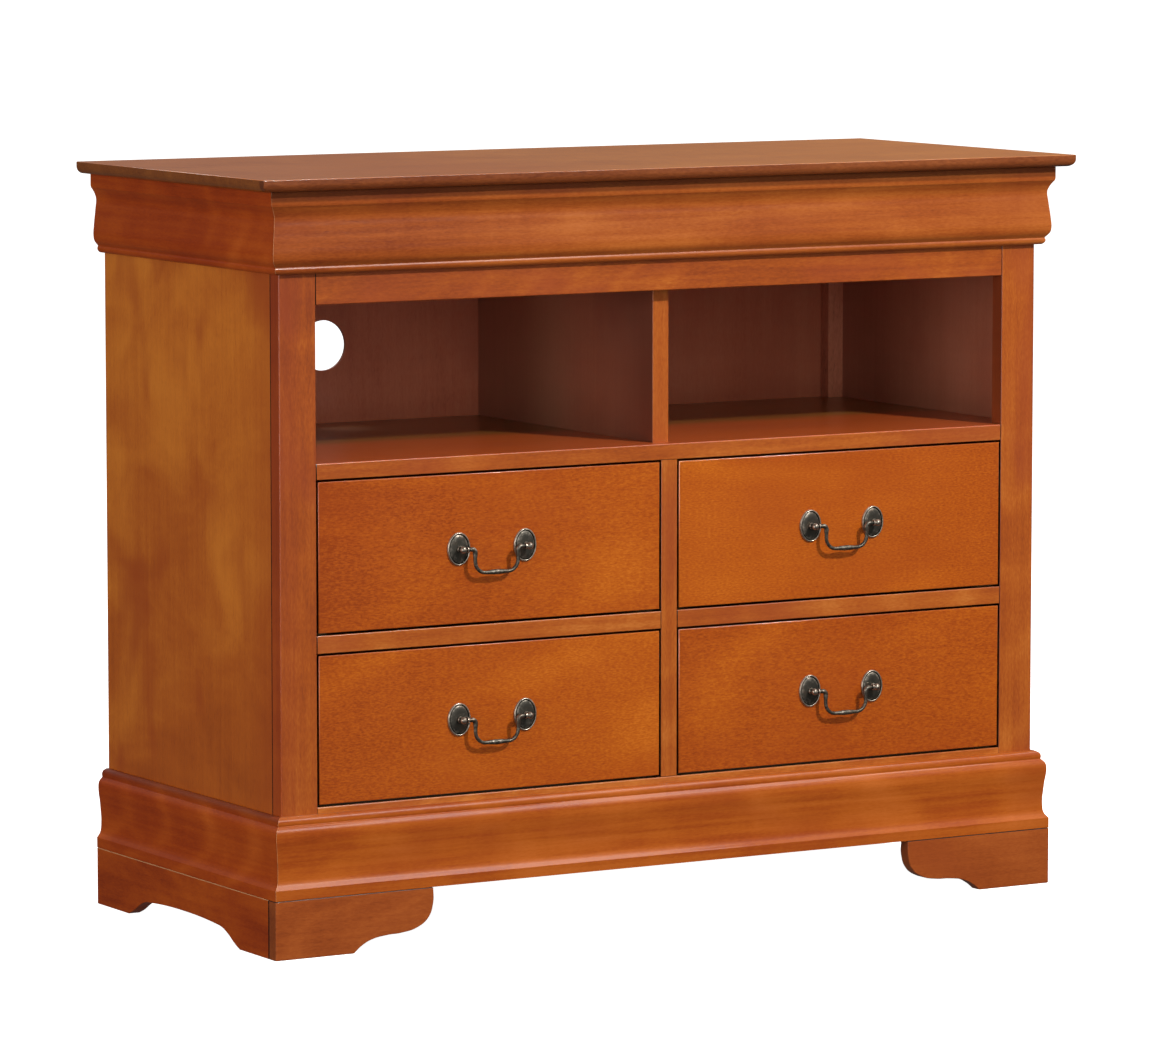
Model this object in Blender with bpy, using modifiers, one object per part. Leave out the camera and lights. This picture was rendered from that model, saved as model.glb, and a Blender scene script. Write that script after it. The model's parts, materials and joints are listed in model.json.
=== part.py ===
"""Media chest: two open bays over four drawers, on bracket feet, with a moulded cornice and base.

Lengths are in metres. X runs to the right, Y to the back and Z up. The origin is on the floor,
under the middle of the top, and the drawers open towards -Y.
"""

import math

import bmesh
import bpy
from mathutils import Matrix, Vector

# Clearances and tool values
joint_gap = 0.0003
cut_overrun = 0.002
weld_distance = 0.00001
edge_round = 0.0012
outline_steps = 4
edge_segments = 2
smooth_angle = math.radians(40)
facing_share = 0.9

# The top
top_width = 1.067
top_depth = 0.457
top_thickness = 0.014
top_side_overhang = 0.035
top_front_overhang = 0.033
top_lower_round = 0.0085
top_upper_round = 0.0020
top_round_segments = 5

# Heights, in their order from the floor to the underside of the top
foot_height = 0.066
base_moulding_height = 0.091
bottom_rail_reveal = 0.007
lower_opening_height = 0.170
mid_rail_height = 0.020
upper_opening_height = 0.172
shelf_thickness = 0.018
bay_height = 0.174
top_rail_reveal = 0.031
cornice_height = 0.095

# Face frame, sides and back
frame_thickness = 0.019
stile_width = 0.0453
centre_stile_width = 0.0208
bottom_rail_height = 0.064
side_panel_thickness = 0.0055
rear_post_width = 0.021
rear_post_depth = 0.017
rear_rail_height = 0.060
back_panel_thickness = 0.004
back_panel_inset = 0.0025
back_panel_rise = 0.040
divider_housing_depth = 0.003
cable_hole_diameter = 0.059
cable_hole_from_divider = 0.2084
cable_hole_above_shelf = 0.091
cable_hole_sides = 40

# Cornice and base mouldings: how far they stand out from the case
cornice_projection = 0.0175
base_projection = 0.016

# Bracket feet and side aprons
foot_length = 0.198
foot_pad_length = 0.098
foot_shelf_height = 0.0175
side_pad_length = 0.086
rear_pad_length = 0.079
side_ogee_length = 0.056
side_arch_height = 0.0205
side_arch_crown = 0.003
foot_block_size = 0.034

# Drawer frames, which carry and guide the drawers
runner_bearing = 0.020
runner_side_gap = 0.001
guide_height = 0.016
frame_rear_thickness = 0.017
frame_rear_height = 0.060

# Drawers
drawer_gap = 0.0024
drawer_side_thickness = 0.012
drawer_side_height = 0.140
drawer_back_thickness = 0.012
drawer_bottom_thickness = 0.004
drawer_bottom_rise = 0.008
groove_depth = 0.005
housing_depth = 0.004
rear_margin = 0.012
dovetail_lap = 0.005
dovetail_count = 4
tail_tip_share = 0.64
tail_root_share = 0.46

# Bail pulls
post_spacing = 0.085
rosette_width = 0.0290
rosette_tall = 0.0373
rosette_thickness = 0.0022
post_boss_diameter = 0.0074
post_boss_length = 0.0036
post_neck_diameter = 0.0046
ball_diameter = 0.0078
ball_reach = 0.011
pin_diameter = 0.0030
pin_depth = 0.0020
pin_hole_depth = 0.0026
bail_collar_diameter = 0.0064
bail_collar_thickness = 0.0016
bail_collar_gap = 0.0005
bail_wire_diameter = 0.0042
bail_grip_diameter = 0.0056
bail_leg_spacing = 0.055
bail_drop = 0.0284
bail_upper_radius = 0.0040
bail_lower_radius = 0.0130
rosette_steps = 24
post_steps = 14
ball_arcs = 6
bail_corner_steps = 5

# Outlines as shares: (out, up, kind), with the moulding's projection and height as 1
CORNER = "VECTOR"
SMOOTH = "AUTO"
cornice_outline_shares = [
    (0.000, 0.000, CORNER),
    (0.360, 0.000, CORNER),
    (0.500, 0.040, SMOOTH),
    (0.535, 0.085, SMOOTH),
    (0.500, 0.140, CORNER),
    (0.560, 0.155, CORNER),
    (0.745, 0.200, SMOOTH),
    (0.817, 0.262, SMOOTH),
    (0.780, 0.380, SMOOTH),
    (0.650, 0.600, SMOOTH),
    (0.600, 0.720, SMOOTH),
    (0.660, 0.760, SMOOTH),
    (0.815, 0.820, SMOOTH),
    (0.970, 0.860, CORNER),
    (1.000, 0.890, CORNER),
    (1.000, 1.000, CORNER),
    (0.000, 1.000, CORNER),
]
base_outline_shares = [
    (0.000, 0.000, CORNER),
    (1.000, 0.000, CORNER),
    (1.000, 0.130, CORNER),
    (0.880, 0.170, SMOOTH),
    (0.720, 0.235, SMOOTH),
    (0.645, 0.340, SMOOTH),
    (0.740, 0.580, SMOOTH),
    (0.860, 0.780, SMOOTH),
    (0.800, 0.840, SMOOTH),
    (0.620, 0.882, CORNER),
    (0.530, 0.895, CORNER),
    (0.560, 0.930, SMOOTH),
    (0.480, 0.970, SMOOTH),
    (0.200, 1.000, CORNER),
    (0.000, 1.000, CORNER),
]

# Front foot, from its pad's end to its inner end, as shares of the stretch past the pad and of the
# height above its low shelf, or below it
foot_cove_shares = [
    (0.00, 0.00, CORNER),
    (0.09, 0.42, SMOOTH),
    (0.22, 0.78, SMOOTH),
    (0.42, 0.97, SMOOTH),
]
foot_round_shares = [
    (0.60, 0.01, SMOOTH),
    (0.80, 0.10, SMOOTH),
    (0.94, 0.31, SMOOTH),
    (1.00, 0.65, SMOOTH),
]

# Side ogee, from the pad to the arch, as shares of its length and of the arch's height
side_ogee_shares = [
    (0.00, 0.00, CORNER),
    (0.22, 0.25, SMOOTH),
    (0.50, 0.66, SMOOTH),
    (0.76, 0.92, SMOOTH),
    (1.00, 1.00, SMOOTH),
]

# Rosette and post sections as shares of a radius and a thickness
rosette_section_shares = [
    (0.00, 0.85),
    (0.45, 0.78),
    (0.80, 0.45),
    (0.86, 0.80),
    (0.93, 1.00),
    (1.00, 0.60),
    (1.00, 0.00),
    (0.00, 0.00),
]
bail_grip_swell_shares = [0.35, 0.7, 0.9, 1.0]

# Planes of the case, worked out from the sizes above
case_half = top_width / 2 - top_side_overhang
case_front = top_front_overhang - top_depth / 2
case_rear = top_depth / 2
frame_back = case_front + frame_thickness
panel_inner = case_half - side_panel_thickness
opening_outer = case_half - stile_width
opening_inner = centre_stile_width / 2
back_panel_front = case_rear - back_panel_inset - back_panel_thickness
rear_post_front = back_panel_front - joint_gap - rear_post_depth

base_top = foot_height + base_moulding_height
lower_floor = base_top + bottom_rail_reveal
lower_ceiling = lower_floor + lower_opening_height
upper_floor = lower_ceiling + mid_rail_height
upper_ceiling = upper_floor + upper_opening_height
shelf_top = upper_ceiling + shelf_thickness
bay_ceiling = shelf_top + bay_height
cornice_bottom = bay_ceiling + top_rail_reveal
top_underside = cornice_bottom + cornice_height

frame_rear_front = rear_post_front - joint_gap - frame_rear_thickness
drawer_width = opening_outer - opening_inner - 2 * drawer_gap
drawer_length = frame_rear_front - joint_gap - case_front
drawer_centre_x = (opening_outer + opening_inner) / 2

# Directions, and the names that rounded edges are given by
LEFT, RIGHT = Vector((-1, 0, 0)), Vector((1, 0, 0))
FRONT, BACK = Vector((0, -1, 0)), Vector((0, 1, 0))
DOWN, UP = Vector((0, 0, -1)), Vector((0, 0, 1))
FRONT_RIM = [(FRONT, LEFT), (FRONT, RIGHT), (FRONT, DOWN), (FRONT, UP)]
SIDES = {"left": -1, "right": 1}

for old in list(bpy.data.objects):
    bpy.data.objects.remove(old)

chest = bpy.data.collections.new("media_chest")
cutters = bpy.data.collections.new("cutters")
bpy.context.scene.collection.children.link(chest)
bpy.context.scene.collection.children.link(cutters)

FINISHES = {
    "cherry": ((0.45, 0.12, 0.03), 0.35, 0.0),
    "cherry_front": ((0.50, 0.16, 0.03), 0.32, 0.0),
    "drawer_wood": ((0.62, 0.42, 0.24), 0.6, 0.0),
    "inside": ((0.16, 0.05, 0.03), 0.5, 0.0),
    "pewter": ((0.10, 0.10, 0.09), 0.4, 0.9),
}


def material_for(name, finish):
    """A material of the piece's own, in one of the finishes."""
    colour, roughness, metallic = FINISHES[finish]
    material = bpy.data.materials.new(name)
    material.use_nodes = True
    shader = material.node_tree.nodes["Principled BSDF"]
    shader.inputs["Base Color"].default_value = (*colour, 1)
    shader.inputs["Roughness"].default_value = roughness
    shader.inputs["Metallic"].default_value = metallic
    return material


def finished(piece, finish, parent=None):
    """Puts a piece in the chest's collection, with its material and parent."""
    chest.objects.link(piece)
    piece.parent = parent
    piece.data.materials.append(material_for(piece.name, finish))
    return piece


def as_cutter(piece, parent=None):
    """Puts a solid that only cuts or joins others out of the finished model."""
    cutters.objects.link(piece)
    piece.parent = parent
    piece.hide_render = True
    piece.display_type = "WIRE"
    return piece


def boolean(piece, tool, operation):
    modifier = piece.modifiers.new(f"{operation.lower()}_{tool.name}", "BOOLEAN")
    modifier.operation = operation
    modifier.solver = "EXACT"
    modifier.object = tool


def faces(edge, direction):
    """Whether one of an edge's two faces looks in a direction."""
    return any(face.normal.dot(direction) > facing_share for face in edge.link_faces)


def block(name, low, high, rounded=(), radius=edge_round, segments=edge_segments):
    """A board between two corners. An edge to round is named by the two sides that it joins."""
    low, high = Vector(low), Vector(high)
    shape = bmesh.new()
    bmesh.ops.create_cube(shape, size=1)
    bmesh.ops.scale(shape, vec=high - low, verts=shape.verts)
    shape.normal_update()
    chosen = [edge for edge in shape.edges if any(faces(edge, a) and faces(edge, b) for a, b in rounded)]
    if chosen:
        bmesh.ops.bevel(
            shape, geom=chosen, offset=radius, segments=segments, profile=0.5, affect="EDGES"
        )
    mesh = bpy.data.meshes.new(name)
    shape.to_mesh(mesh)
    shape.free()
    piece = bpy.data.objects.new(name, mesh)
    piece.location = (low + high) / 2
    return piece


def curve_object(name, curve_type="2D"):
    curve = bpy.data.curves.new(name + "_outline", "CURVE")
    curve.dimensions = curve_type
    curve.resolution_u = outline_steps
    return curve


def solid_from(source, name):
    """The evaluated mesh of a curve or of a modified mesh, welded, in place of its source."""
    bpy.context.scene.collection.objects.link(source)
    bpy.context.view_layer.update()
    evaluated = source.evaluated_get(bpy.context.evaluated_depsgraph_get())
    mesh = bpy.data.meshes.new_from_object(evaluated)
    mesh.name = name
    shape = bmesh.new()
    shape.from_mesh(mesh)
    bmesh.ops.remove_doubles(shape, verts=shape.verts, dist=weld_distance)
    shape.to_mesh(mesh)
    shape.free()
    solid = bpy.data.objects.new(name, mesh)
    solid.matrix_basis = source.matrix_basis
    bpy.data.objects.remove(source)
    return solid


def extruded(name, outline, length, across, upward, centre):
    """A flat outline of corner and smooth points, extruded both ways from its centre."""
    curve = curve_object(name)
    curve.fill_mode = "BOTH"
    curve.extrude = length / 2
    spline = curve.splines.new("BEZIER")
    spline.bezier_points.add(len(outline) - 1)
    spline.use_cyclic_u = True
    for point, (u, v, kind) in zip(spline.bezier_points, outline):
        point.handle_left_type = kind
        point.handle_right_type = kind
        point.co = (u, v, 0)
    source = bpy.data.objects.new(name + "_source", curve)
    turn = Matrix((across, upward, across.cross(upward))).transposed().to_4x4()
    source.matrix_basis = Matrix.Translation(centre) @ turn
    return solid_from(source, name)


def cut_off(solid, point, outward):
    """Takes away what lies past a plane, and closes the cut."""
    inverse = solid.matrix_basis.inverted()
    shape = bmesh.new()
    shape.from_mesh(solid.data)
    cut = bmesh.ops.bisect_plane(
        shape,
        geom=[*shape.verts, *shape.edges, *shape.faces],
        plane_co=inverse @ Vector(point),
        plane_no=inverse.to_3x3() @ Vector(outward),
        clear_outer=True,
    )
    rim = [part for part in cut["geom_cut"] if isinstance(part, bmesh.types.BMEdge)]
    bmesh.ops.edgeloop_fill(shape, edges=rim)
    bmesh.ops.recalc_face_normals(shape, faces=shape.faces)
    shape.to_mesh(solid.data)
    shape.free()


def scaled(shares, width, height, start=(0, 0)):
    return [(start[0] + u * width, start[1] + v * height, kind) for u, v, kind in shares]


def corners(points):
    return [(u, v, CORNER) for u, v in points]


def turned(name, section, steps):
    """A section of radius and height, outer side first, swept round its own Z axis."""
    mesh = bpy.data.meshes.new(name + "_section")
    mesh.from_pydata([(r, 0, h) for r, h in section], [(i, i + 1) for i in range(len(section) - 1)], [])
    source = bpy.data.objects.new(name + "_source", mesh)
    screw = source.modifiers.new("turn", "SCREW")
    screw.steps = steps
    screw.render_steps = steps
    screw.use_merge_vertices = True
    screw.merge_threshold = weld_distance
    return solid_from(source, name)


def mitred_set(name, outline, projection, bottom, height, finish):
    """A front and two side mouldings round the case, mitred at its front corners."""
    profile = scaled(outline, projection - joint_gap, height)
    middle_y = (case_front + case_rear) / 2
    depth = case_rear - case_front
    reach = projection + cut_overrun
    front = extruded(
        f"{name}_front", profile, 2 * (case_half + reach), FRONT, UP,
        (0, case_front - joint_gap, bottom),
    )
    for sign in SIDES.values():
        outward = Vector((sign, 1, 0)).normalized()
        corner = Vector((sign * case_half, case_front, 0)) - outward * joint_gap / 2
        cut_off(front, corner, outward)
    finished(front, finish)
    for side, sign in SIDES.items():
        across = RIGHT * sign
        piece = extruded(
            f"{name}_{side}", profile, depth + reach, across, UP,
            (sign * (case_half + joint_gap), middle_y - reach / 2, bottom),
        )
        outward = Vector((-sign, -1, 0)).normalized()
        corner = Vector((sign * case_half, case_front, 0)) - outward * joint_gap / 2
        cut_off(piece, corner, outward)
        finished(piece, finish)


def make_top():
    half_width, half_depth = top_width / 2, top_depth / 2
    top = block(
        "top_panel",
        (-half_width, -half_depth, top_underside + joint_gap),
        (half_width, half_depth, top_underside + top_thickness),
        rounded=[(DOWN, FRONT), (DOWN, LEFT), (DOWN, RIGHT)],
        radius=top_lower_round,
        segments=top_round_segments,
    )
    shape = bmesh.new()
    shape.from_mesh(top.data)
    shape.normal_update()
    upper = [edge for edge in shape.edges if faces(edge, UP) and not faces(edge, BACK)]
    bmesh.ops.bevel(
        shape, geom=upper, offset=top_upper_round, segments=edge_segments, profile=0.5, affect="EDGES"
    )
    shape.to_mesh(top.data)
    shape.free()
    finished(top, "cherry")


def make_face_frame():
    stile_bottom = foot_height + joint_gap
    stile_top = top_underside - joint_gap
    for side, sign in SIDES.items():
        outer, inner = sign * case_half, sign * opening_outer
        finished(
            block(
                f"stile_{side}",
                (min(outer, inner), case_front, stile_bottom),
                (max(outer, inner), frame_back, stile_top),
                rounded=[(FRONT, RIGHT * sign)],
            ),
            "cherry",
        )
        start, end = sign * (opening_inner + joint_gap), sign * (opening_outer - joint_gap)
        finished(
            block(
                f"mid_rail_{side}",
                (min(start, end), case_front, lower_ceiling),
                (max(start, end), frame_back, upper_floor),
                rounded=[(FRONT, UP)],
            ),
            "cherry",
        )
    between = opening_outer - joint_gap
    finished(
        block(
            "top_rail",
            (-between, case_front, bay_ceiling),
            (between, frame_back, stile_top),
            rounded=[(FRONT, DOWN)],
        ),
        "cherry",
    )
    finished(
        block(
            "bottom_rail",
            (-between, case_front, lower_floor - bottom_rail_height),
            (between, frame_back, lower_floor),
            rounded=[(FRONT, UP)],
        ),
        "cherry",
    )
    finished(
        block(
            "centre_stile",
            (-opening_inner, case_front, lower_floor + joint_gap),
            (opening_inner, frame_back, upper_ceiling - joint_gap),
        ),
        "cherry",
    )


def make_case():
    """Side panels, rear posts and rail, shelf, the divider in its housing, and back."""
    panel_bottom = foot_height + joint_gap
    panel_top = top_underside - joint_gap
    panel_front = frame_back + joint_gap
    post_outer = panel_inner - joint_gap
    post_inner = post_outer - rear_post_width
    for side, sign in SIDES.items():
        outer, inner = sign * case_half, sign * panel_inner
        finished(
            block(
                f"side_panel_{side}",
                (min(outer, inner), panel_front, panel_bottom),
                (max(outer, inner), case_rear, panel_top),
            ),
            "cherry",
        )
        outer, inner = sign * post_outer, sign * post_inner
        finished(
            block(
                f"rear_post_{side}",
                (min(outer, inner), rear_post_front, panel_bottom),
                (max(outer, inner), rear_post_front + rear_post_depth, panel_top),
            ),
            "cherry",
        )
    rail_half = post_inner - joint_gap
    rail_bottom = panel_top - rear_rail_height
    finished(
        block(
            "rear_top_rail",
            (-rail_half, rear_post_front, rail_bottom),
            (rail_half, rear_post_front + rear_post_depth, panel_top),
        ),
        "inside",
    )
    shelf_front_half = opening_outer - joint_gap
    shelf_half = panel_inner - joint_gap
    shelf_rear = back_panel_front - joint_gap
    notch_rear = rear_post_front - joint_gap
    shelf = block(
        "shelf_panel", (-shelf_half, case_front, upper_ceiling), (shelf_half, shelf_rear, shelf_top),
        rounded=[(FRONT, UP)],
    )
    housing_bottom = shelf_top - divider_housing_depth
    under, over = upper_ceiling - cut_overrun, shelf_top + cut_overrun
    front, rear = case_front - cut_overrun, shelf_rear + cut_overrun
    cuts = [
        block(
            "divider_housing_cutter",
            (-opening_inner - joint_gap, frame_back, housing_bottom),
            (opening_inner + joint_gap, rear, over),
        )
    ]
    for side, sign in SIDES.items():
        far = sign * (shelf_half + cut_overrun)
        for corner, near, start, end in (
            ("stile", sign * shelf_front_half, front, panel_front),
            ("post", sign * rail_half, notch_rear, rear),
        ):
            low, high = (min(near, far), start, under), (max(near, far), end, over)
            cuts.append(block(f"{corner}_notch_cutter_{side}", low, high))
    for cut in cuts:
        boolean(shelf, as_cutter(cut), "DIFFERENCE")
    finished(shelf, "cherry")
    divider_bottom = housing_bottom + joint_gap
    divider = [
        (panel_front, divider_bottom),
        (shelf_rear, divider_bottom),
        (shelf_rear, rail_bottom - joint_gap),
        (notch_rear, rail_bottom - joint_gap),
        (notch_rear, panel_top),
        (panel_front, panel_top),
    ]
    finished(
        extruded("centre_divider", corners(divider), centre_stile_width, BACK, UP, (0, 0, 0)), "cherry"
    )
    back = block(
        "back_panel",
        (-shelf_half, back_panel_front, foot_height + back_panel_rise),
        (shelf_half, back_panel_front + back_panel_thickness, panel_top),
    )
    hole = bpy.data.meshes.new("cable_hole_cutter")
    shape = bmesh.new()
    bmesh.ops.create_cone(
        shape, cap_ends=True, segments=cable_hole_sides,
        radius1=cable_hole_diameter / 2, radius2=cable_hole_diameter / 2,
        depth=back_panel_thickness + 2 * cut_overrun,
    )
    shape.to_mesh(hole)
    shape.free()
    cutter = as_cutter(bpy.data.objects.new("cable_hole_cutter", hole))
    cutter.rotation_euler.x = math.pi / 2
    cutter.location = (
        -opening_inner - cable_hole_from_divider,
        back_panel_front + back_panel_thickness / 2,
        shelf_top + cable_hole_above_shelf,
    )
    boolean(back, cutter, "DIFFERENCE")
    finished(back, "inside")


def make_drawer_frame(name, floor, underside):
    """A web frame: two side runners, a middle one between the drawers, guides on them and a rear rail."""
    runner_top = floor + drawer_gap - joint_gap
    front = frame_back + joint_gap
    rear = frame_rear_front + frame_rear_thickness
    outer = panel_inner - joint_gap
    drawer_outer = opening_outer - drawer_gap
    drawer_inner = opening_inner + drawer_gap
    side_reach = drawer_outer - runner_bearing
    middle_reach = drawer_inner + runner_bearing
    back_of_gap = frame_rear_front
    right_half = [
        (middle_reach, front),
        (middle_reach, back_of_gap),
        (side_reach, back_of_gap),
        (side_reach, front),
        (outer, front),
        (outer, rear),
    ]
    left_half = [(-x, y) for x, y in reversed(right_half)]
    web = extruded(
        name, corners(right_half + left_half), runner_top - underside, RIGHT, BACK,
        (0, 0, (runner_top + underside) / 2),
    )
    guide_bottom = runner_top - cut_overrun
    guide_top = runner_top + guide_height
    guide_rear = frame_rear_front + cut_overrun
    tools = [
        block(
            f"{name}_middle_guide",
            (-drawer_inner + runner_side_gap, front, guide_bottom),
            (drawer_inner - runner_side_gap, guide_rear, guide_top),
        ),
        block(
            f"{name}_rear_rail",
            (-outer, frame_rear_front, underside),
            (outer, rear, underside + frame_rear_height),
        ),
    ]
    for side, sign in SIDES.items():
        near, far = sign * (drawer_outer + runner_side_gap), sign * outer
        tools.append(
            block(
                f"{name}_guide_{side}",
                (min(near, far), front, guide_bottom),
                (max(near, far), guide_rear, guide_top),
            )
        )
    for tool in tools:
        boolean(web, as_cutter(tool), "UNION")
    finished(web, "drawer_wood")


def make_feet():
    """Front bracket feet with their corner blocks, and the side aprons that end in the rear feet."""
    board = base_projection - joint_gap
    low_board_top = foot_height - joint_gap
    rise = low_board_top - foot_shelf_height
    past_pad = foot_length - foot_pad_length
    outline = (
        corners([(0, 0)])
        + scaled(foot_cove_shares, past_pad, foot_shelf_height, (foot_pad_length, 0))
        + scaled(foot_round_shares, past_pad, rise, (foot_pad_length, foot_shelf_height))
        + corners([(foot_length, low_board_top), (0, low_board_top)])
    )
    outer = case_half + base_projection
    front_face = case_front - base_projection
    for side, sign in SIDES.items():
        inward = LEFT * sign
        foot = extruded(
            f"front_foot_{side}", outline, board, inward, UP, (sign * outer, front_face + board / 2, 0)
        )
        near, far = sign * (case_half - foot_block_size), sign * case_half
        glue_block = block(
            f"front_foot_block_{side}",
            (min(near, far), case_front - cut_overrun, 0),
            (max(near, far), case_front + foot_block_size, low_board_top),
        )
        boolean(foot, as_cutter(glue_block), "UNION")
        finished(foot, "cherry")

    start = case_front
    end = case_rear
    front_pad = front_face + side_pad_length
    rear_pad = end - rear_pad_length
    ogee = scaled(side_ogee_shares, side_ogee_length, side_arch_height, (front_pad, 0))
    back_ogee = [(front_pad + rear_pad - y, z, kind) for y, z, kind in reversed(ogee)]
    crown = [((front_pad + rear_pad) / 2, side_arch_height + side_arch_crown, SMOOTH)]
    apron_outline = (
        corners([(start, 0)]) + ogee + crown + back_ogee
        + corners([(end, 0), (end, low_board_top), (start, low_board_top)])
    )
    for side, sign in SIDES.items():
        centre_x = sign * (case_half + joint_gap + board / 2)
        apron = extruded(f"side_apron_{side}", apron_outline, board, BACK, UP, (centre_x, 0, 0))
        near, far = sign * (case_half - foot_block_size), sign * (case_half + cut_overrun)
        glue_block = block(
            f"rear_foot_block_{side}",
            (min(near, far), end - foot_block_size, 0),
            (max(near, far), end, low_board_top),
        )
        boolean(apron, as_cutter(glue_block), "UNION")
        finished(apron, "cherry")


def tail_outline(height, clearance):
    """The tails on one end of a drawer side: y from the front's face, z from the drawer's underside."""
    pitch = height / dovetail_count
    tip = dovetail_lap + joint_gap - clearance
    root = frame_thickness + joint_gap
    tails = []
    for i in range(dovetail_count):
        middle = pitch * (i + 0.5)
        at_root = pitch * tail_root_share / 2 + clearance
        at_tip = pitch * tail_tip_share / 2 + clearance
        lower_edge = [(root, middle - at_root), (tip, middle - at_tip)]
        upper_edge = [(tip, middle + at_tip), (root, middle + at_root)]
        tails.append(lower_edge + upper_edge)
    return tails


def make_drawer_box(prefix, slide, front_height):
    """The five boards of a drawer, round an empty at the middle of the front's face."""
    half = drawer_width / 2
    floor = -front_height / 2
    inner = half - drawer_side_thickness
    front = block(
        f"{prefix}_drawer_front", (-half, 0, floor), (half, frame_thickness, -floor), rounded=FRONT_RIM
    )
    panel_low = floor + drawer_bottom_rise
    panel_high = panel_low + drawer_bottom_thickness
    panel_reach = groove_depth - joint_gap
    panel_front = frame_thickness - panel_reach
    panel_half = inner + panel_reach
    bottom = block(
        f"{prefix}_drawer_bottom",
        (-panel_half, panel_front, panel_low),
        (panel_half, drawer_length, panel_high),
    )
    groove = as_cutter(
        block(
            f"{prefix}_groove_cutter",
            (-panel_half - joint_gap, panel_front - joint_gap, panel_low - joint_gap),
            (panel_half + joint_gap, drawer_length + cut_overrun, panel_high + joint_gap),
        ),
        slide,
    )
    back_rear = drawer_length - rear_margin
    back_front = back_rear - drawer_back_thickness
    back_half = inner + housing_depth - joint_gap
    back_low = panel_high + joint_gap
    back_high = floor + drawer_side_height
    back = block(
        f"{prefix}_drawer_back", (-back_half, back_front, back_low), (back_half, back_rear, back_high)
    )
    housing = as_cutter(
        block(
            f"{prefix}_housing_cutter",
            (-back_half - joint_gap, back_front - joint_gap, back_low),
            (back_half + joint_gap, back_rear + joint_gap, back_high + cut_overrun),
        ),
        slide,
    )
    for side, sign in SIDES.items():
        points = []
        for tail in reversed(tail_outline(drawer_side_height, 0)):
            points += [(y, floor + z) for y, z in reversed(tail)]
        root = frame_thickness + joint_gap
        top = floor + drawer_side_height
        outline = [(root, floor), (drawer_length, floor), (drawer_length, top), (root, top)] + points
        board = extruded(
            f"{prefix}_drawer_side_{side}", corners(outline), drawer_side_thickness, BACK, UP,
            (sign * (half - drawer_side_thickness / 2), 0, 0),
        )
        boolean(board, groove, "DIFFERENCE")
        boolean(board, housing, "DIFFERENCE")
        finished(board, "drawer_wood", slide)
        socket_width = drawer_side_thickness + joint_gap + cut_overrun
        socket_x = sign * (half + cut_overrun - socket_width / 2)
        for i, tail in enumerate(tail_outline(drawer_side_height, joint_gap)):
            tip_low, tip_high = tail[1], tail[2]
            slope = (tail[0][1] - tip_low[1]) / (tail[0][0] - tip_low[0])
            past = cut_overrun
            mouth_low = (tail[0][0] + past, tail[0][1] + slope * past)
            mouth_high = (tail[3][0] + past, tail[3][1] - slope * past)
            socket_points = [(y, floor + z) for y, z in (mouth_low, tip_low, tip_high, mouth_high)]
            socket = extruded(
                f"{prefix}_socket_{side}_{i}", corners(socket_points), socket_width, BACK, UP,
                (socket_x, 0, 0),
            )
            boolean(front, as_cutter(socket, slide), "DIFFERENCE")
    boolean(front, groove, "DIFFERENCE")
    finished(front, "cherry_front", slide)
    finished(bottom, "drawer_wood", slide)
    finished(back, "drawer_wood", slide)


def post_section():
    """Ball, neck and boss, from the ball's outer end down to inside the rosette."""
    ball, neck, boss = ball_diameter / 2, post_neck_diameter / 2, post_boss_diameter / 2
    waist = math.asin(neck / ball)
    arc = [i * (math.pi - waist) / ball_arcs for i in range(ball_arcs + 1)]
    section = [(ball * math.sin(a), ball_reach + ball * math.cos(a)) for a in arc]
    shoulder = rosette_thickness / 2 + post_boss_length
    section += [(neck, shoulder + boss - neck), (boss, shoulder), (boss, rosette_thickness / 2)]
    section.append((0, rosette_thickness / 2))
    return section


def make_pull(prefix, slide):
    """Two rosettes with ball-headed posts, and the bail that swings between them."""
    outward_turn = Matrix.Rotation(math.pi / 2, 4, "X")
    for side, sign in SIDES.items():
        place = Matrix.Translation((sign * post_spacing / 2, -joint_gap, 0)) @ outward_turn
        section = [(r * rosette_width / 2, h * rosette_thickness) for r, h in rosette_section_shares]
        rosette = turned(f"{prefix}_rosette_{side}", section, rosette_steps)
        rosette.data.transform(Matrix.Diagonal((1, rosette_tall / rosette_width, 1, 1)))
        rosette.matrix_basis = place
        post = turned(f"{prefix}_pull_post_{side}", post_section(), post_steps)
        post.matrix_basis = place
        boolean(post, as_cutter(rosette, slide), "UNION")
        hole_radius = pin_diameter / 2 + joint_gap
        ball_inner = post_spacing / 2 - ball_diameter / 2
        hole_start = ball_inner - cut_overrun
        hole_end = ball_inner + pin_hole_depth
        mesh = bpy.data.meshes.new(f"{prefix}_pin_hole_{side}")
        shape = bmesh.new()
        bmesh.ops.create_cone(
            shape, cap_ends=True, segments=post_steps, radius1=hole_radius, radius2=hole_radius,
            depth=hole_end - hole_start,
        )
        shape.to_mesh(mesh)
        shape.free()
        hole = as_cutter(bpy.data.objects.new(mesh.name, mesh), slide)
        hole.rotation_euler.y = math.pi / 2
        hole.location = (sign * (hole_start + hole_end) / 2, -joint_gap - ball_reach, 0)
        boolean(post, hole, "DIFFERENCE")
        post.data.shade_smooth()
        post.data.set_sharp_from_angle(angle=smooth_angle)
        finished(post, "pewter", slide)
    make_bail(prefix, slide)


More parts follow.
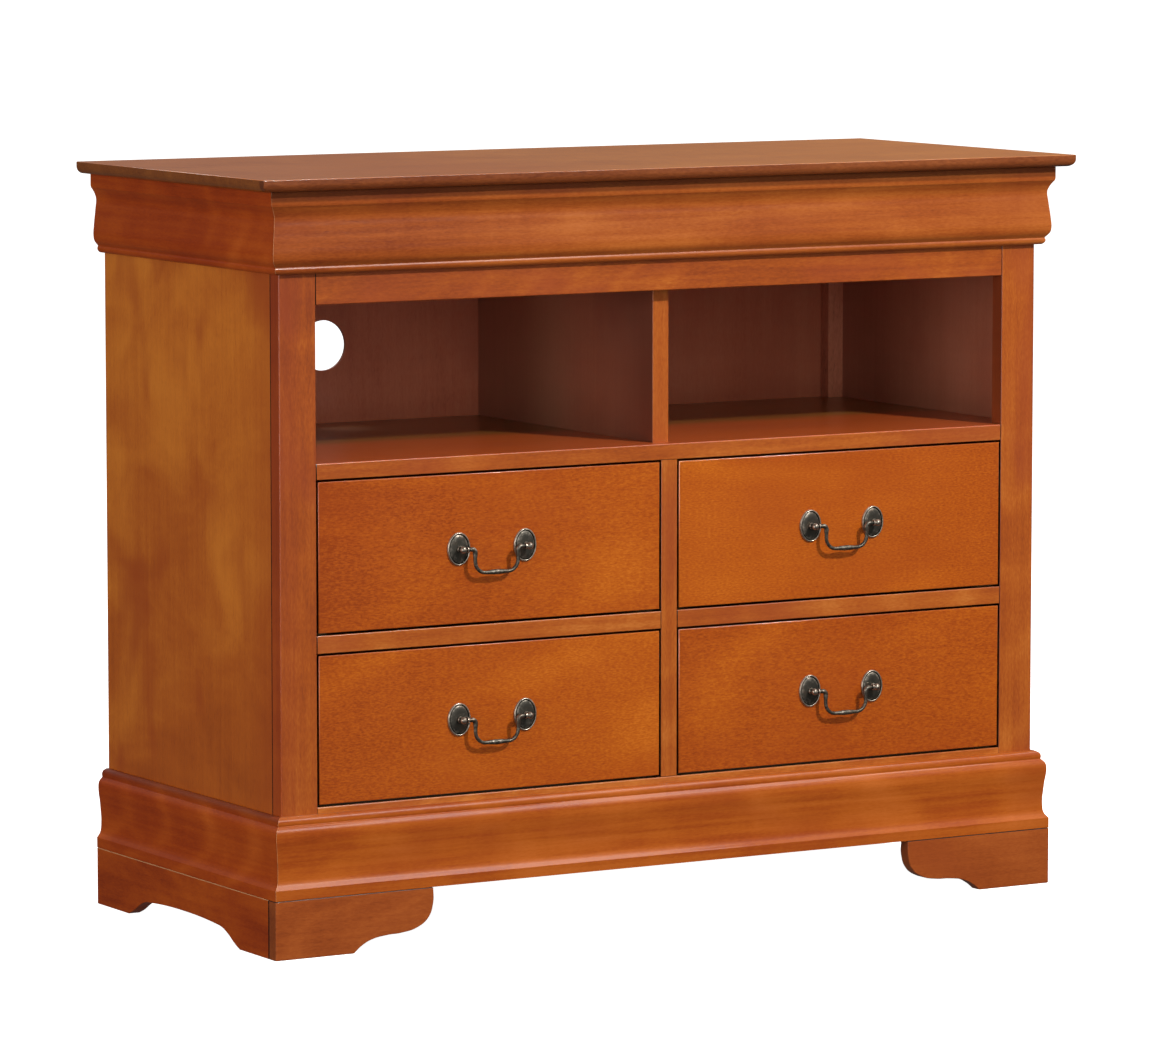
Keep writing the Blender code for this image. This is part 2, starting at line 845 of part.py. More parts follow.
def bail_half():
    """Points (x, z, radius) of the right half, from the pin's end to the middle of the grip."""
    pin, wire, grip = pin_diameter / 2, bail_wire_diameter / 2, bail_grip_diameter / 2
    ball_inner = post_spacing / 2 - ball_diameter / 2
    collar_outer = ball_inner - bail_collar_gap
    collar_inner = collar_outer - bail_collar_thickness
    collar = bail_collar_diameter / 2
    leg = bail_leg_spacing / 2
    points = [
        (ball_inner + pin_depth, 0, pin),
        (collar_outer + joint_gap, 0, pin),
        (collar_outer, 0, collar),
        (collar_inner, 0, collar),
        (collar_inner - joint_gap, 0, wire),
    ]
    upper = bail_upper_radius
    for i in range(bail_corner_steps + 1):
        a = i * math.pi / 2 / bail_corner_steps
        points.append((leg + upper - upper * math.sin(a), -upper + upper * math.cos(a), wire))
    lower = bail_lower_radius
    for i in range(bail_corner_steps + 1):
        a = i * math.pi / 2 / bail_corner_steps
        points.append((leg - lower + lower * math.cos(a), lower - bail_drop - lower * math.sin(a), wire))
    straight = leg - lower
    for i, swell in enumerate(bail_grip_swell_shares, 1):
        share = i / len(bail_grip_swell_shares)
        points.append((straight * (1 - share), -bail_drop, wire + (grip - wire) * swell))
    return points


def make_bail(prefix, slide):
    right = bail_half()
    left = [(-x, z, radius) for x, z, radius in reversed(right[:-1])]
    points = right + left
    curve = curve_object(f"{prefix}_pull_bail", "3D")
    curve.bevel_depth = bail_wire_diameter / 2
    curve.bevel_resolution = 3
    curve.use_fill_caps = True
    spline = curve.splines.new("POLY")
    spline.points.add(len(points) - 1)
    for point, (x, z, radius) in zip(spline.points, points):
        point.co = (x, 0, z, 1)
        point.radius = radius / curve.bevel_depth
    bail = bpy.data.objects.new(f"{prefix}_pull_bail", curve)
    bail.location = (0, -joint_gap - ball_reach, 0)
    finished(bail, "pewter", slide)


def make_drawers():
    for level, floor, opening in (
        ("upper", upper_floor, upper_opening_height),
        ("lower", lower_floor, lower_opening_height),
    ):
        front_height = opening - 2 * drawer_gap
        for side, sign in SIDES.items():
            prefix = f"{level}_{side}"
            slide = bpy.data.objects.new(f"{prefix}_slide", None)
            slide.location = (sign * drawer_centre_x, case_front, floor + opening / 2)
            cutters.objects.link(slide)
            make_drawer_box(prefix, slide, front_height)
            make_pull(prefix, slide)


make_top()
mitred_set(
    "cornice", cornice_outline_shares, cornice_projection, cornice_bottom, cornice_height - joint_gap,
    "cherry",
)
make_face_frame()
make_case()
make_drawer_frame("upper_drawer_frame", upper_floor, lower_ceiling)
make_drawer_frame("lower_drawer_frame", lower_floor, lower_floor - mid_rail_height)
mitred_set(
    "base_moulding", base_outline_shares, base_projection, foot_height, base_moulding_height, "cherry"
)
make_feet()
make_drawers()
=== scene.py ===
# %% [markdown]
# # Dressing a media chest
# The chest is a low cabinet in cherry-stained wood: two open bays over four drawers, a moulded
# cornice and base, bracket feet and bail pulls. Its boards are already built at their real size.
# This lesson adds what a finisher and a founder would: cast pulls, mouldings with clean arrises,
# stained and lacquered grain, and a studio's light.

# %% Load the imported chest
import json
import math
import random
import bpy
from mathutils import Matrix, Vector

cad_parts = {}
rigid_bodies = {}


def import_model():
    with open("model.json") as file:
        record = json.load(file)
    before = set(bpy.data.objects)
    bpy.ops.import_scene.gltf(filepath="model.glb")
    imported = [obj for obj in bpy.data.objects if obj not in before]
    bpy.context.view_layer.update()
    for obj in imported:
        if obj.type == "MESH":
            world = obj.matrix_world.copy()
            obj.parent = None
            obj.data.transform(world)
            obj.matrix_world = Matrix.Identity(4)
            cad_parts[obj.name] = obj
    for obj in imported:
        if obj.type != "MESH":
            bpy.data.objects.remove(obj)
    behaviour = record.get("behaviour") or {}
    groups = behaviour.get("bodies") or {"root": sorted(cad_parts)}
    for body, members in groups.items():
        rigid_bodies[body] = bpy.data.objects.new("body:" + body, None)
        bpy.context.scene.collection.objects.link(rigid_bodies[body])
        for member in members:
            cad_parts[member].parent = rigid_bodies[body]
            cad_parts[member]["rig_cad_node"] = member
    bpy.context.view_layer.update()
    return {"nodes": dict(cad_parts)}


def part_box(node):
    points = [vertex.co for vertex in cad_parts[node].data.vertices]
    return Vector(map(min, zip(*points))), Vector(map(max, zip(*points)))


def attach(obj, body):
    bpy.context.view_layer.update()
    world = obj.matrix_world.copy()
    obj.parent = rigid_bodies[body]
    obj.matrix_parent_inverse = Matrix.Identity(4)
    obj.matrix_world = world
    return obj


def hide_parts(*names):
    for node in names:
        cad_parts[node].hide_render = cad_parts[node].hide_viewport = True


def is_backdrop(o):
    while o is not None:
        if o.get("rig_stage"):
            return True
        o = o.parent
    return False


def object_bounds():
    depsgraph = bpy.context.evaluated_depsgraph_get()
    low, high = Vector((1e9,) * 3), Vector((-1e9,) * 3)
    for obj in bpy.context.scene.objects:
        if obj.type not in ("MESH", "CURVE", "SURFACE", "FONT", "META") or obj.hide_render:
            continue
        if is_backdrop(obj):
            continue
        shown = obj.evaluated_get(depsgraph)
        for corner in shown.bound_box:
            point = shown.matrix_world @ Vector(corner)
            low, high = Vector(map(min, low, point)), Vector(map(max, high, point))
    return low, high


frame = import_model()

from types import SimpleNamespace

import bmesh
import bpy
from mathutils import Matrix, Vector

nodes = frame["nodes"]
print("boards and fittings:", len(nodes))

# %% [markdown]
# ## The camera
# A catalogue photograph is taken from far away with a long lens, which keeps upright edges nearly
# parallel. The camera stands to the left of the front and looks slightly down. Its place is worked
# out backwards, from the point that it aims at, along its line of sight.

# %% Place the camera
camera_turn = math.radians(30.587)
camera_tilt = math.radians(6.237)
camera_distance = 7.361
camera_lens = 198.914
aim_height = 0.43875
aim_sideways = -0.007295

sine, cosine = math.sin(camera_turn), math.cos(camera_turn)
level, drop = math.cos(camera_tilt), math.sin(camera_tilt)
sight = Vector((sine * level, cosine * level, -drop))
sideways = Vector((cosine, -sine, 0))
aim = Vector((0, 0, aim_height)) + sideways * aim_sideways

bpy.ops.object.camera_add(
    location=aim - sight * camera_distance,
    rotation=(math.pi / 2 - camera_tilt, 0, -camera_turn),
)
camera = bpy.context.object
camera.data.lens = camera_lens
camera.data.sensor_width = 36
bpy.context.scene.camera = camera
print("camera at", [round(c, 3) for c in camera.location])

# %% [markdown]
# ## Mixing finishes in Python
# A finish is a network of small nodes, and most of them only add or multiply. So a socket is
# wrapped in a class that knows `+`, `-` and `*`, and every other node comes from one method that
# takes its type, its settings and what feeds it. A finish then reads as the sum that it is.

# %% Sockets that can be added and multiplied
class Socket:
    """A value or colour that comes out of a node."""

    def __init__(self, finish, socket):
        self.finish = finish
        self.socket = socket

    def maths(self, operation, *others):
        fed = dict(enumerate((self, *others)))
        return self.finish.node("ShaderNodeMath", {"operation": operation}, fed)

    def __add__(self, other):
        return self.maths("ADD", other)

    def __sub__(self, other):
        return self.maths("SUBTRACT", other)

    def __rsub__(self, other):
        return self.maths("MULTIPLY_ADD", -1, other)

    def __mul__(self, other):
        return self.maths("MULTIPLY", other)

    def __pow__(self, other):
        return self.maths("POWER", other)

    def __abs__(self):
        return self.maths("ABSOLUTE")

    __radd__ = __add__
    __rmul__ = __mul__

    def rise(self, low, high):
        """0 up to low, 1 from high on, and a smooth step between them."""
        settings = {"interpolation_type": "SMOOTHSTEP"}
        return self.finish.node(
            "ShaderNodeMapRange", settings, {"Value": self, "From Min": low, "From Max": high}
        )


# %% A finish and its nodes
def paint(red, green, blue):
    """A colour as a screen gives it, from 0 to 255, as the light that it stands for."""
    parts = (red, green, blue)
    light = [((part / 255 + 0.055) / 1.055) ** 2.4 if part > 10 else part / 3295 for part in parts]
    return (*light, 1)


class Finish:
    """A material in the making."""

    def __init__(self, name):
        self.material = bpy.data.materials.new(name)
        self.material.use_nodes = True
        self.tree = self.material.node_tree
        self.shader = self.tree.nodes["Principled BSDF"]

    def node(self, kind, settings, inputs, output=0):
        made = self.tree.nodes.new(kind)
        for name, value in settings.items():
            if name == "stops":
                self.set_stops(made.color_ramp, value)
            else:
                setattr(made, name, value)
        for key, value in inputs.items():
            self.feed(made.inputs[key], value)
        return Socket(self, made.outputs[output])

    def feed(self, socket, value):
        if isinstance(value, Socket):
            self.tree.links.new(value.socket, socket)
        else:
            socket.default_value = value

    def set_stops(self, ramp, stops):
        while len(ramp.elements) < len(stops):
            ramp.elements.new(1)
        for element, (position, colour) in zip(ramp.elements, stops):
            element.position = position
            element.color = colour

    def place(self):
        """Where a point lies on the piece, in metres."""
        return self.node("ShaderNodeTexCoord", {}, {}, "Object")

    def axes(self, place):
        split = self.tree.nodes.new("ShaderNodeSeparateXYZ")
        self.feed(split.inputs[0], place)
        return {axis: Socket(self, split.outputs[axis]) for axis in "XYZ"}

    def point(self, x, y, z):
        return self.node("ShaderNodeCombineXYZ", {}, {0: x, 1: y, 2: z})

    def vectors(self, operation, one, other):
        return self.node("ShaderNodeVectorMath", {"operation": operation}, {0: one, 1: other})

    def noise(self, place, per_metre, detail=2, distortion=0):
        """Soft random values round 0.5, so many to the metre along each axis."""
        stretched = self.vectors("MULTIPLY", place, per_metre)
        fed = {"Vector": stretched, "Scale": 1, "Detail": detail, "Distortion": distortion}
        return self.node("ShaderNodeTexNoise", {}, fed)

    def ramp(self, value, *stops):
        return self.node("ShaderNodeValToRGB", {"stops": stops}, {"Fac": value})

    def mix(self, share, under, over):
        fed = {0: share, 6: under, 7: over}
        return self.node("ShaderNodeMix", {"data_type": "RGBA"}, fed, 2)

    def bump(self, height, depth, strength):
        """Raises the surface by depth, in metres, where height is 1."""
        fed = {"Height": height, "Distance": depth, "Strength": strength}
        return self.node("ShaderNodeBump", {}, fed)

    def set(self, **values):
        """Feeds the shader: base_color becomes its Base Color socket, and so on."""
        for name, value in values.items():
            key = name.replace("_", " ").title().replace("Ior", "IOR")
            self.feed(self.shader.inputs[key], value)
        return self.material


# %% [markdown]
# ## Stained wood
# The eye reads wood by its structure. Rings are cones round the tree's pith, so a board sawn
# beside it shows nested arches. Fibres are long streaks, pores are short dashes, stain leaves soft
# clouds, and a ripple makes bands across the grain. All of it is drawn in three directions, so
# that a board's face, edge and moulded section belong to one piece of timber. A picture of wood
# would be quicker, but it would stretch round a moulding.

# %% The wood recipe
grain_relief = 0.00012


def wood(name, grain, first, box, seed, second=None, shade=0.0, painted_light_lean=0.0, lines=()):
    """A stained board. grain names its axes: along the grain, across the face, into the board.
    first is its stain, and second another one with the function that says where it lies. shade
    makes the board lighter or darker, and painted_light_lean its far end, as painted light and
    shade.
    lines are colours and where they lie: dark joints, tints, painted shade and painted highlights.
    """
    dice = random.Random(seed)
    low, high = (dict(zip("XYZ", corner)) for corner in box)
    middle = [(low[axis] + high[axis]) / 2 for axis in grain]
    half = [(high[axis] - low[axis]) / 2 for axis in grain]
    finish = Finish(name)
    axes = finish.axes(finish.place())
    along, across, deep = (axes[axis] for axis in grain)
    offset = (dice.uniform(2, 40), dice.uniform(2, 9), dice.uniform(2, 9))
    board = finish.vectors("ADD", finish.point(along, across, deep), offset)

    drift = finish.noise(board, (3, 7, 7)) - 0.5
    heart = across - (middle[1] + dice.uniform(-0.5, 0.5) * half[1]) + drift * 0.05
    slope = dice.choice((-1, 1)) * dice.uniform(0.16, 0.30)
    pith_depth = dice.uniform(0.03, 0.08) + half[0] * abs(slope)
    depth = (along - middle[0]) * slope + pith_depth + drift * 0.03
    radius = (heart * heart + depth * depth) ** 0.5
    streaks = finish.noise(board, (5, 150, 150)) - 0.5
    pores = finish.noise(board, (80, 1300, 1300), detail=1).rise(0.60, 0.74)
    ripple = finish.noise(board, (70, 9, 9), detail=1) - 0.5
    redness = finish.noise(board, (6, 11, 11), distortion=0.4).rise(0.48, 0.72)

    def coloured(stain):
        """Its colour under a stain, with the fibres and clouds that the stain brings out."""
        rings = (radius * (2 * math.pi / stain.ring_spacing)).maths("SINE") * 0.5 + 0.5
        fibres = finish.noise(board, stain.fibre_scale) - 0.5
        clouds = finish.noise(board, stain.cloud_scale, detail=3, distortion=0.6) - 0.5
        tone = (
            along * (painted_light_lean / half[0])
            + (0.5 + shade - middle[0] * painted_light_lean / half[0])
            + clouds * stain.clouds
            + streaks * stain.streaks
            + fibres * stain.fibres
            + ripple * stain.ripple
            + (rings ** 3) * drift.rise(-0.15, 0.10) * stain.rings
            - pores * stain.pores
        )
        if stain.edge:
            ends = [abs(part - centre) for part, centre in zip((along, across), middle)]
            near = [end.rise(reach - stain.edge_width, reach) for end, reach in zip(ends, half)]
            tone = tone - near[0].maths("MAXIMUM", near[1]) * stain.edge
        colour = finish.ramp(
            tone, (0.15, stain.deep), (0.42, stain.body), (0.60, stain.fair), (0.90, stain.light)
        )
        return finish.mix(redness * stain.redness, colour, stain.red), fibres, clouds

    colour, fibres, clouds = coloured(first)
    if second:
        other, where = second
        colour = finish.mix(where(axes), colour, coloured(other)[0])
    for line_colour, where in lines:
        colour = finish.mix(where(axes), colour, line_colour)
    return finish.set(
        base_color=colour,
        roughness=fibres * 0.10 + clouds * 0.08 + first.roughness,
        specular_ior_level=first.specular,
        coat_weight=first.lacquer,
        coat_roughness=first.lacquer_roughness,
        normal=finish.bump(fibres * 0.7 + streaks * 0.5 - pores * 0.8, grain_relief, first.relief),
    )


def stain(*colours, **changes):
    """A stain's colours, four from dark to light and a red, and how strongly each mark shows."""
    usual = {
        "ring_spacing": 0.016, "rings": 0.10, "streaks": 0.35, "fibres": 0.55, "pores": 0.10,
        "fibre_scale": (170, 560, 560), "clouds": 0.55, "cloud_scale": (6, 13, 13), "ripple": 0.10,
        "edge": 0.0, "edge_width": 0.030, "redness": 0.35, "roughness": 0.34, "specular": 0.40,
        "lacquer": 0.35, "lacquer_roughness": 0.14, "relief": 0.30,
    }
    named = zip(("deep", "body", "fair", "light", "red"), colours)
    painted = {name: paint(*colour) for name, colour in named}
    return SimpleNamespace(**painted, **{**usual, **changes})


# %% [markdown]
# ## The stains on this chest
# The drawer fronts are an even, warm orange. The frame is a little browner, the thin side panels
# are amber with soft clouds, and the mouldings took the stain darker. Inside, the boards had stain
# and hardly any lacquer, and the drawer boxes were left bare.

# %% The stains
front_stain = stain(
    (141, 57, 9), (166, 76, 11), (177, 87, 12), (196, 105, 22), (152, 62, 12), streaks=0.14,
    rings=0.15, ring_spacing=0.060, ripple=0.06, redness=0.3, clouds=0.17, edge=0.03,
    cloud_scale=(9, 14, 14), fibres=1.0, fibre_scale=(240, 700, 700), specular=0.30,
)
frame_stain = stain(
    (130, 56, 19), (157, 74, 19), (171, 88, 25), (192, 114, 46), (147, 63, 30), streaks=0.45,
    redness=0.5, rings=0.12, fibres=0.5,
)
panel_stain = stain(
    (150, 60, 14), (196, 97, 22), (224, 127, 35), (246, 156, 54), (172, 70, 18), clouds=0.50,
    cloud_scale=(10, 7, 7), redness=0.60, rings=0.0, streaks=0.12, ripple=0.05, fibres=0.15,
)
cornice_stain = stain(
    (120, 50, 17), (151, 73, 24), (167, 88, 32), (182, 103, 46), (137, 58, 27), streaks=0.45,
    fibres=0.35, rings=0.08, ring_spacing=0.045, specular=0.2, lacquer=0.65,
    lacquer_roughness=0.07,
)
base_stain = stain(
    (120, 47, 12), (153, 67, 17), (170, 84, 22), (186, 98, 37), (139, 54, 20), streaks=0.55,
    fibres=0.25, rings=0.10, ring_spacing=0.045, specular=0.15, lacquer=0.55,
    lacquer_roughness=0.07,
)
side_moulding_stain = stain(
    (135, 43, 6), (169, 63, 9), (185, 77, 12), (206, 97, 25), (156, 51, 9), streaks=0.35,
    fibres=0.30, rings=0.18, ring_spacing=0.020, clouds=0.8, specular=0.14, lacquer=0.2,
    lacquer_roughness=0.34,
)
stile_side_stain = stain(
    (158, 56, 9), (188, 78, 11), (202, 90, 14), (226, 112, 26), (172, 60, 10), streaks=0.30,
    fibres=0.30, specular=0.15,
)
top_stain = stain(
    (150, 78, 25), (185, 107, 35), (197, 119, 43), (213, 136, 58), (171, 95, 33), clouds=0.3,
    streaks=0.2,
)
top_edge_stain = stain(
    (94, 41, 17), (122, 61, 26), (135, 71, 31), (154, 85, 41), (108, 50, 22), clouds=0.3,
    streaks=0.3,
)
foot_stain = stain(
    (118, 48, 14), (146, 67, 20), (160, 78, 26), (176, 94, 36), (135, 55, 18), streaks=0.30,
    fibres=0.4,
)
apron_stain = stain(
    (135, 43, 6), (171, 67, 9), (187, 81, 12), (206, 98, 24), (156, 53, 9), streaks=0.30,
    fibres=0.35, clouds=0.8, specular=0.15,
)
# The shelf behind its lit strip: painted shade, duller, with a greyer cast of painted reflection.
shelf_shade_and_sheen_stain = stain(
    (106, 59, 20), (130, 79, 27), (142, 88, 33), (158, 102, 44), (120, 70, 32), fibres=0.25,
    rings=0.1, specular=0.25,
)
thin_coat = {"clouds": 0.4, "streaks": 0.2, "rings": 0.0, "fibres": 0.25, "lacquer": 0.2}
inside_stain = stain(
    (128, 60, 40), (189, 103, 72), (200, 115, 82), (215, 130, 96), (172, 88, 62), **thin_coat,
)
side_inside_stain = stain(
    (110, 55, 37), (161, 95, 69), (172, 105, 78), (188, 121, 94), (149, 79, 60), **thin_coat,
)
corner_post_stain = stain(
    (138, 78, 55), (196, 117, 85), (208, 130, 98), (224, 148, 116), (172, 92, 66), streaks=0.5,
    pores=0.2,
)
bare_stain = stain(
    (172, 132, 88), (206, 170, 122), (218, 184, 138), (232, 206, 166), (198, 154, 110),
    streaks=0.4, pores=0.2, redness=0.2, roughness=0.62, specular=0.35, ring_spacing=0.011,
    rings=0.12, lacquer=0.0,
)
# Near black: the colour of dark joints, and of painted shade in gaps and under edges.
joint_dark_and_painted_shade = paint(24, 10, 6)
# Pale: painted highlights along arrises, at the mitres and on the aprons' top edge.
painted_arris_highlight = paint(226, 168, 118)
print("the drawer fronts, as light:", [round(part, 3) for part in front_stain.body[:3]])

# %% [markdown]
# ## Board by board
# A board's grain runs along its length. The letters below say it: XZY is grain along X, with Z
# across the face and Y into the board. Each board gets a material of its own, because two boards
# of one tree still have their own clouds and arches. Some have two stains: the divider and the
# sides are duller towards the bays, and the back and the drawer fronts are bare behind.

# %% Grain and stain of the boards
prefixes = [f"{level}_{side}" for level in ("upper", "lower") for side in ("left", "right")]
boards = {}
for grain, mixed, names in (
    ("XZY", frame_stain, "top_rail bottom_rail mid_rail_left mid_rail_right"),
    ("ZXY", frame_stain, "stile_left stile_right centre_stile"),
    ("XYZ", frame_stain, "shelf_panel"),
    ("ZYX", side_inside_stain, "centre_divider side_panel_left side_panel_right"),
    ("ZXY", corner_post_stain, "rear_post_left rear_post_right"),
    ("XZY", inside_stain, "rear_top_rail"),
    ("ZXY", inside_stain, "back_panel"),
    ("YXZ", bare_stain, "upper_drawer_frame lower_drawer_frame"),
):
    boards.update((name, (grain, mixed)) for name in names.split())
for prefix in prefixes:
    boards[f"{prefix}_drawer_front"] = ("XZY", front_stain)
    for part, grain in (
        ("side_left", "YZX"), ("side_right", "YZX"), ("back", "XZY"), ("bottom", "XYZ"),
    ):
        boards[f"{prefix}_drawer_{part}"] = (grain, bare_stain)
stain_edge = 0.0006


def past(axis, value, towards, soft=0.0003):
    """1 beyond a plane, on the side that towards (+1 or -1) names, and 0 before it."""
    return lambda axes: axes[axis].rise(value - towards * soft, value + towards * soft)


def face(node, axis, towards):
    """1 in a thin layer on one face of a board: the one towards the + or - end of an axis."""
    corner = dict(zip("XYZ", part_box(node)[towards > 0]))
    return past(axis, corner[axis] - towards * stain_edge, towards)


def all_of(*places):
    """1 only where each of the places has 1."""

    def where(axes):
        shares = [place(axes) for place in places]
        return math.prod(shares[1:], start=shares[0])

    return where


def faint(share, *places):
    """A share of all_of, for a tint that the wood still shows through."""
    where = all_of(*places)
    return lambda axes: where(axes) * share


# How a board came out beside its stain, and a painted lean: how much lighter or darker its far
# end is, as painted light and shade that falls off along it. Light above 0, dark below.
board_tones = {
    "stile_left": (-0.14, -0.18),
    "top_rail": (-0.15, 0.12),
    "stile_right": (-0.06, 0.0),
    "mid_rail_left": (0.06, 0.0),
    "shelf_panel": (-0.04, 0.0),
    "bottom_rail": (0.14, 0.0),
    "upper_left_drawer_front": (-0.12, 0.12),
    "upper_right_drawer_front": (-0.03, -0.05),
    "lower_left_drawer_front": (-0.06, 0.10),
    "lower_right_drawer_front": (-0.11, 0.02),
    "centre_divider": (0.05, 0.0),
    "side_panel_left": (0.0, 0.09),
    "side_panel_right": (0.12, 0.09),
}
case_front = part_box("stile_left")[0].y
divider_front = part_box("centre_divider")[0].y
# How far behind the front the shelf is painted as lit; past it the shelf is painted in shade.
lit_strip = 0.19
second_stains = {
    "stile_left": (stile_side_stain, face("stile_left", "X", -1)),
    # The shelf's rear, past the lit strip, takes the painted shade and reflection stain.
    "shelf_panel": (shelf_shade_and_sheen_stain, past("Y", case_front + lit_strip, 1, 0.03)),
    "centre_divider": (frame_stain, face("centre_divider", "Y", -1)),
    "side_panel_left": (panel_stain, face("side_panel_left", "X", -1)),
    "side_panel_right": (panel_stain, face("side_panel_right", "X", 1)),
}
for node in ["back_panel"] + [f"{prefix}_drawer_front" for prefix in prefixes]:
    second_stains[node] = (bare_stain, face(node, "Y", 1))
print("boards with two stains:", len(second_stains))

# %% [markdown]
# ## Tints, dark joints and painted shade
# Some boards get a faint tint. On the left side panel and the left stile it is stain that came out
# redder; the others are painted shade or painted light, as each one says below. A hairline shows
# where two boards meet, and the gaps round the drawers look black, because hardly any light gets
# in. So each board is painted dark past its front face where a gap opens, as painted shade, and at
# an end that butts against its neighbour, as a dark joint.

# %% Tints over the stain
stile_low, stile_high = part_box("stile_left")
panel_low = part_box("side_panel_left")[0]
marks = {name: [] for name in boards}
for node, colour, share, *places in (
    # Painted shade: the back's inner face is darker in the right bay.
    ("back_panel", paint(140, 70, 44), 0.35, past("X", 0.0, 1, 0.05), face("back_panel", "Y", -1)),
    # Painted shade: a dark band on the right side panel's inner face, just behind the stile.
    (
        "side_panel_right", joint_dark_and_painted_shade, 0.8, face("side_panel_right", "X", -1),
        past("Y", stile_high.y + 0.004, -1, 0.001),
    ),
    (
        "stile_left", paint(140, 58, 26), 0.30,
        past("X", (stile_low.x + stile_high.x) / 2, -1, 0.012),
    ),
    # Painted shade: the right stile's inner face, darker where less light reaches it.
    ("stile_right", paint(120, 50, 36), 0.6, face("stile_right", "X", -1)),
    # Painted light: the lit strip along the front of the shelf's top.
    (
        "shelf_panel", paint(190, 80, 34), 0.6, face("shelf_panel", "Z", 1),
        past("Y", case_front + lit_strip, -1, 0.03),
    ),
    # Painted light and painted reflection: the divider is paler and greyer towards the back.
    ("centre_divider", paint(215, 165, 130), 0.35, past("Y", divider_front + 0.20, 1, 0.06)),
    # Painted shade: the divider's bay face is darker near its front edge.
    (
        "centre_divider", paint(84, 38, 27), 0.75, past("Y", divider_front + 2 * stain_edge, 1),
        past("Y", divider_front + 0.10, -1, 0.09),
    ),
    ("side_panel_left", paint(176, 72, 20), 0.45, past("Y", panel_low.y + 0.03, -1, 0.05)),
    ("side_panel_left", paint(176, 72, 20), 0.35, past("Z", panel_low.z + 0.05, -1, 0.06)),
):
    marks[node].append((colour, faint(share, *places)))
print("tinted boards:", sum(map(bool, marks.values())))

# %% Dark joints, and painted shade in the gaps
line_width = 0.0007
gap_depth = 0.0009
outer_face = 0.0002
rim_depth = 0.0085
frame_depth = 0.02
painted_shade_in_gap = past("Y", case_front + gap_depth, 1)
near_the_front = past("Y", case_front + rim_depth, -1, 0.0015)
in_front = past("Y", case_front + frame_depth, -1)
below_shelf = past("Z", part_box("shelf_panel")[0].z, -1)
frame_ends = (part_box("mid_rail_left")[0].x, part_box("mid_rail_right")[1].x)


def dark_joint_and_gap_shade(node, *places):
    """Darkens a board where all the places hold, for a dark joint and for painted shade in a gap.
    """
    marks[node].append((joint_dark_and_painted_shade, all_of(*places)))


for name in ("top_rail", "shelf_panel", "mid_rail_left", "mid_rail_right"):
    ends = [corner.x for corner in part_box(name)] if name.startswith("mid") else frame_ends
    for end, towards in zip(ends, (-1, 1)):
        dark_joint_and_gap_shade(name, in_front, past("X", end - towards * line_width, towards))
# Painted shade on the faces that lie inside the gaps round the drawers.
for name in ("mid_rail_left", "mid_rail_right", "centre_stile", "bottom_rail"):
    dark_joint_and_gap_shade(name, painted_shade_in_gap)
for name, edge, towards in zip(("stile_left", "stile_right"), frame_ends, (1, -1)):
    dark_joint_and_gap_shade(name, painted_shade_in_gap, below_shelf, past("X", edge - towards * line_width, towards))
for name in ("side_panel_left", "side_panel_right"):
    dark_joint_and_gap_shade(name, past("Y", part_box(name)[0].y + 2 * line_width, -1))
# Painted shade: the drawer fronts' edges, near black just behind their faces in the gaps.
for prefix in prefixes:
    name = f"{prefix}_drawer_front"
    for corner, towards in zip(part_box(name), (-1, 1)):
        for axis, edge in (("X", corner.x), ("Z", corner.z)):
            rim = past(axis, edge - towards * outer_face, towards, outer_face / 2)
            dark_joint_and_gap_shade(name, painted_shade_in_gap, near_the_front, rim)


# %% Stain each board
def cover(piece, material):
    """Gives a piece one material, in place of what it had."""
    piece.data.materials.clear()
    piece.data.materials.append(material)


for seed, (name, (grain, mixed)) in enumerate(boards.items(), 1):
    shade, painted_light_lean = board_tones.get(name, (0, 0))
    second = second_stains.get(name)
    recipe = (f"{name}_wood", grain, mixed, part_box(name), seed, second, shade, painted_light_lean, marks[name])
    cover(nodes[name], wood(*recipe))
print("boards stained:", len(boards))

# %% [markdown]
# ## A few bench helpers
# Every new piece starts as a primitive and is shaped in edit mode. An operator works on all that
# is selected, so the helpers select in code, by asking each edge where it is.

# %% Start, pick and finish
tiny = 0.00001
sharp_angle = math.radians(35)
flat_angle = math.radians(0.5)


def mode(kind):
    bpy.ops.object.mode_set(mode=kind)


def deselect():
    bpy.ops.object.select_all(action="DESELECT")


def start(name, add, **settings):
    """Adds a primitive with nothing else selected, names it and opens it in edit mode."""
    deselect()
    add(**settings)
    piece = bpy.context.object
    piece.name = piece.data.name = name
    bpy.ops.object.transform_apply()
    mode("EDIT")
    return piece


def start_box(name, low, high):
    cube = {"size": 1, "location": (low + high) / 2, "scale": high - low}
    return start(name, bpy.ops.mesh.primitive_cube_add, **cube)


def pick(piece, kind, rule):
    """Selects the VERT, EDGE or FACE elements that a rule holds for, and no others."""
    bpy.ops.mesh.select_mode(type=kind)
    bpy.ops.mesh.select_all(action="DESELECT")
    shape = bmesh.from_edit_mesh(piece.data)
    elements = {"VERT": shape.verts, "EDGE": shape.edges, "FACE": shape.faces}[kind]
    for element in [element for element in elements if rule(element)]:
        element.select_set(True)
    shape.select_flush_mode()
    bmesh.update_edit_mesh(piece.data)


def select_mesh():
    bpy.ops.mesh.select_all(action="SELECT")


def lies_at(element, axis, value):
    """Whether all of an edge's or face's corners have this coordinate."""
    return all(abs(corner.co[axis] - value) < tiny for corner in element.verts)


def modify(piece, kind, **settings):
    """Adds a modifier, sets it and applies it."""
    bpy.ops.object.modifier_add(type=kind)
    modifier = piece.modifiers[-1]
    for name, value in settings.items():
        setattr(modifier, name, value)
    bpy.ops.object.modifier_apply(modifier=modifier.name)


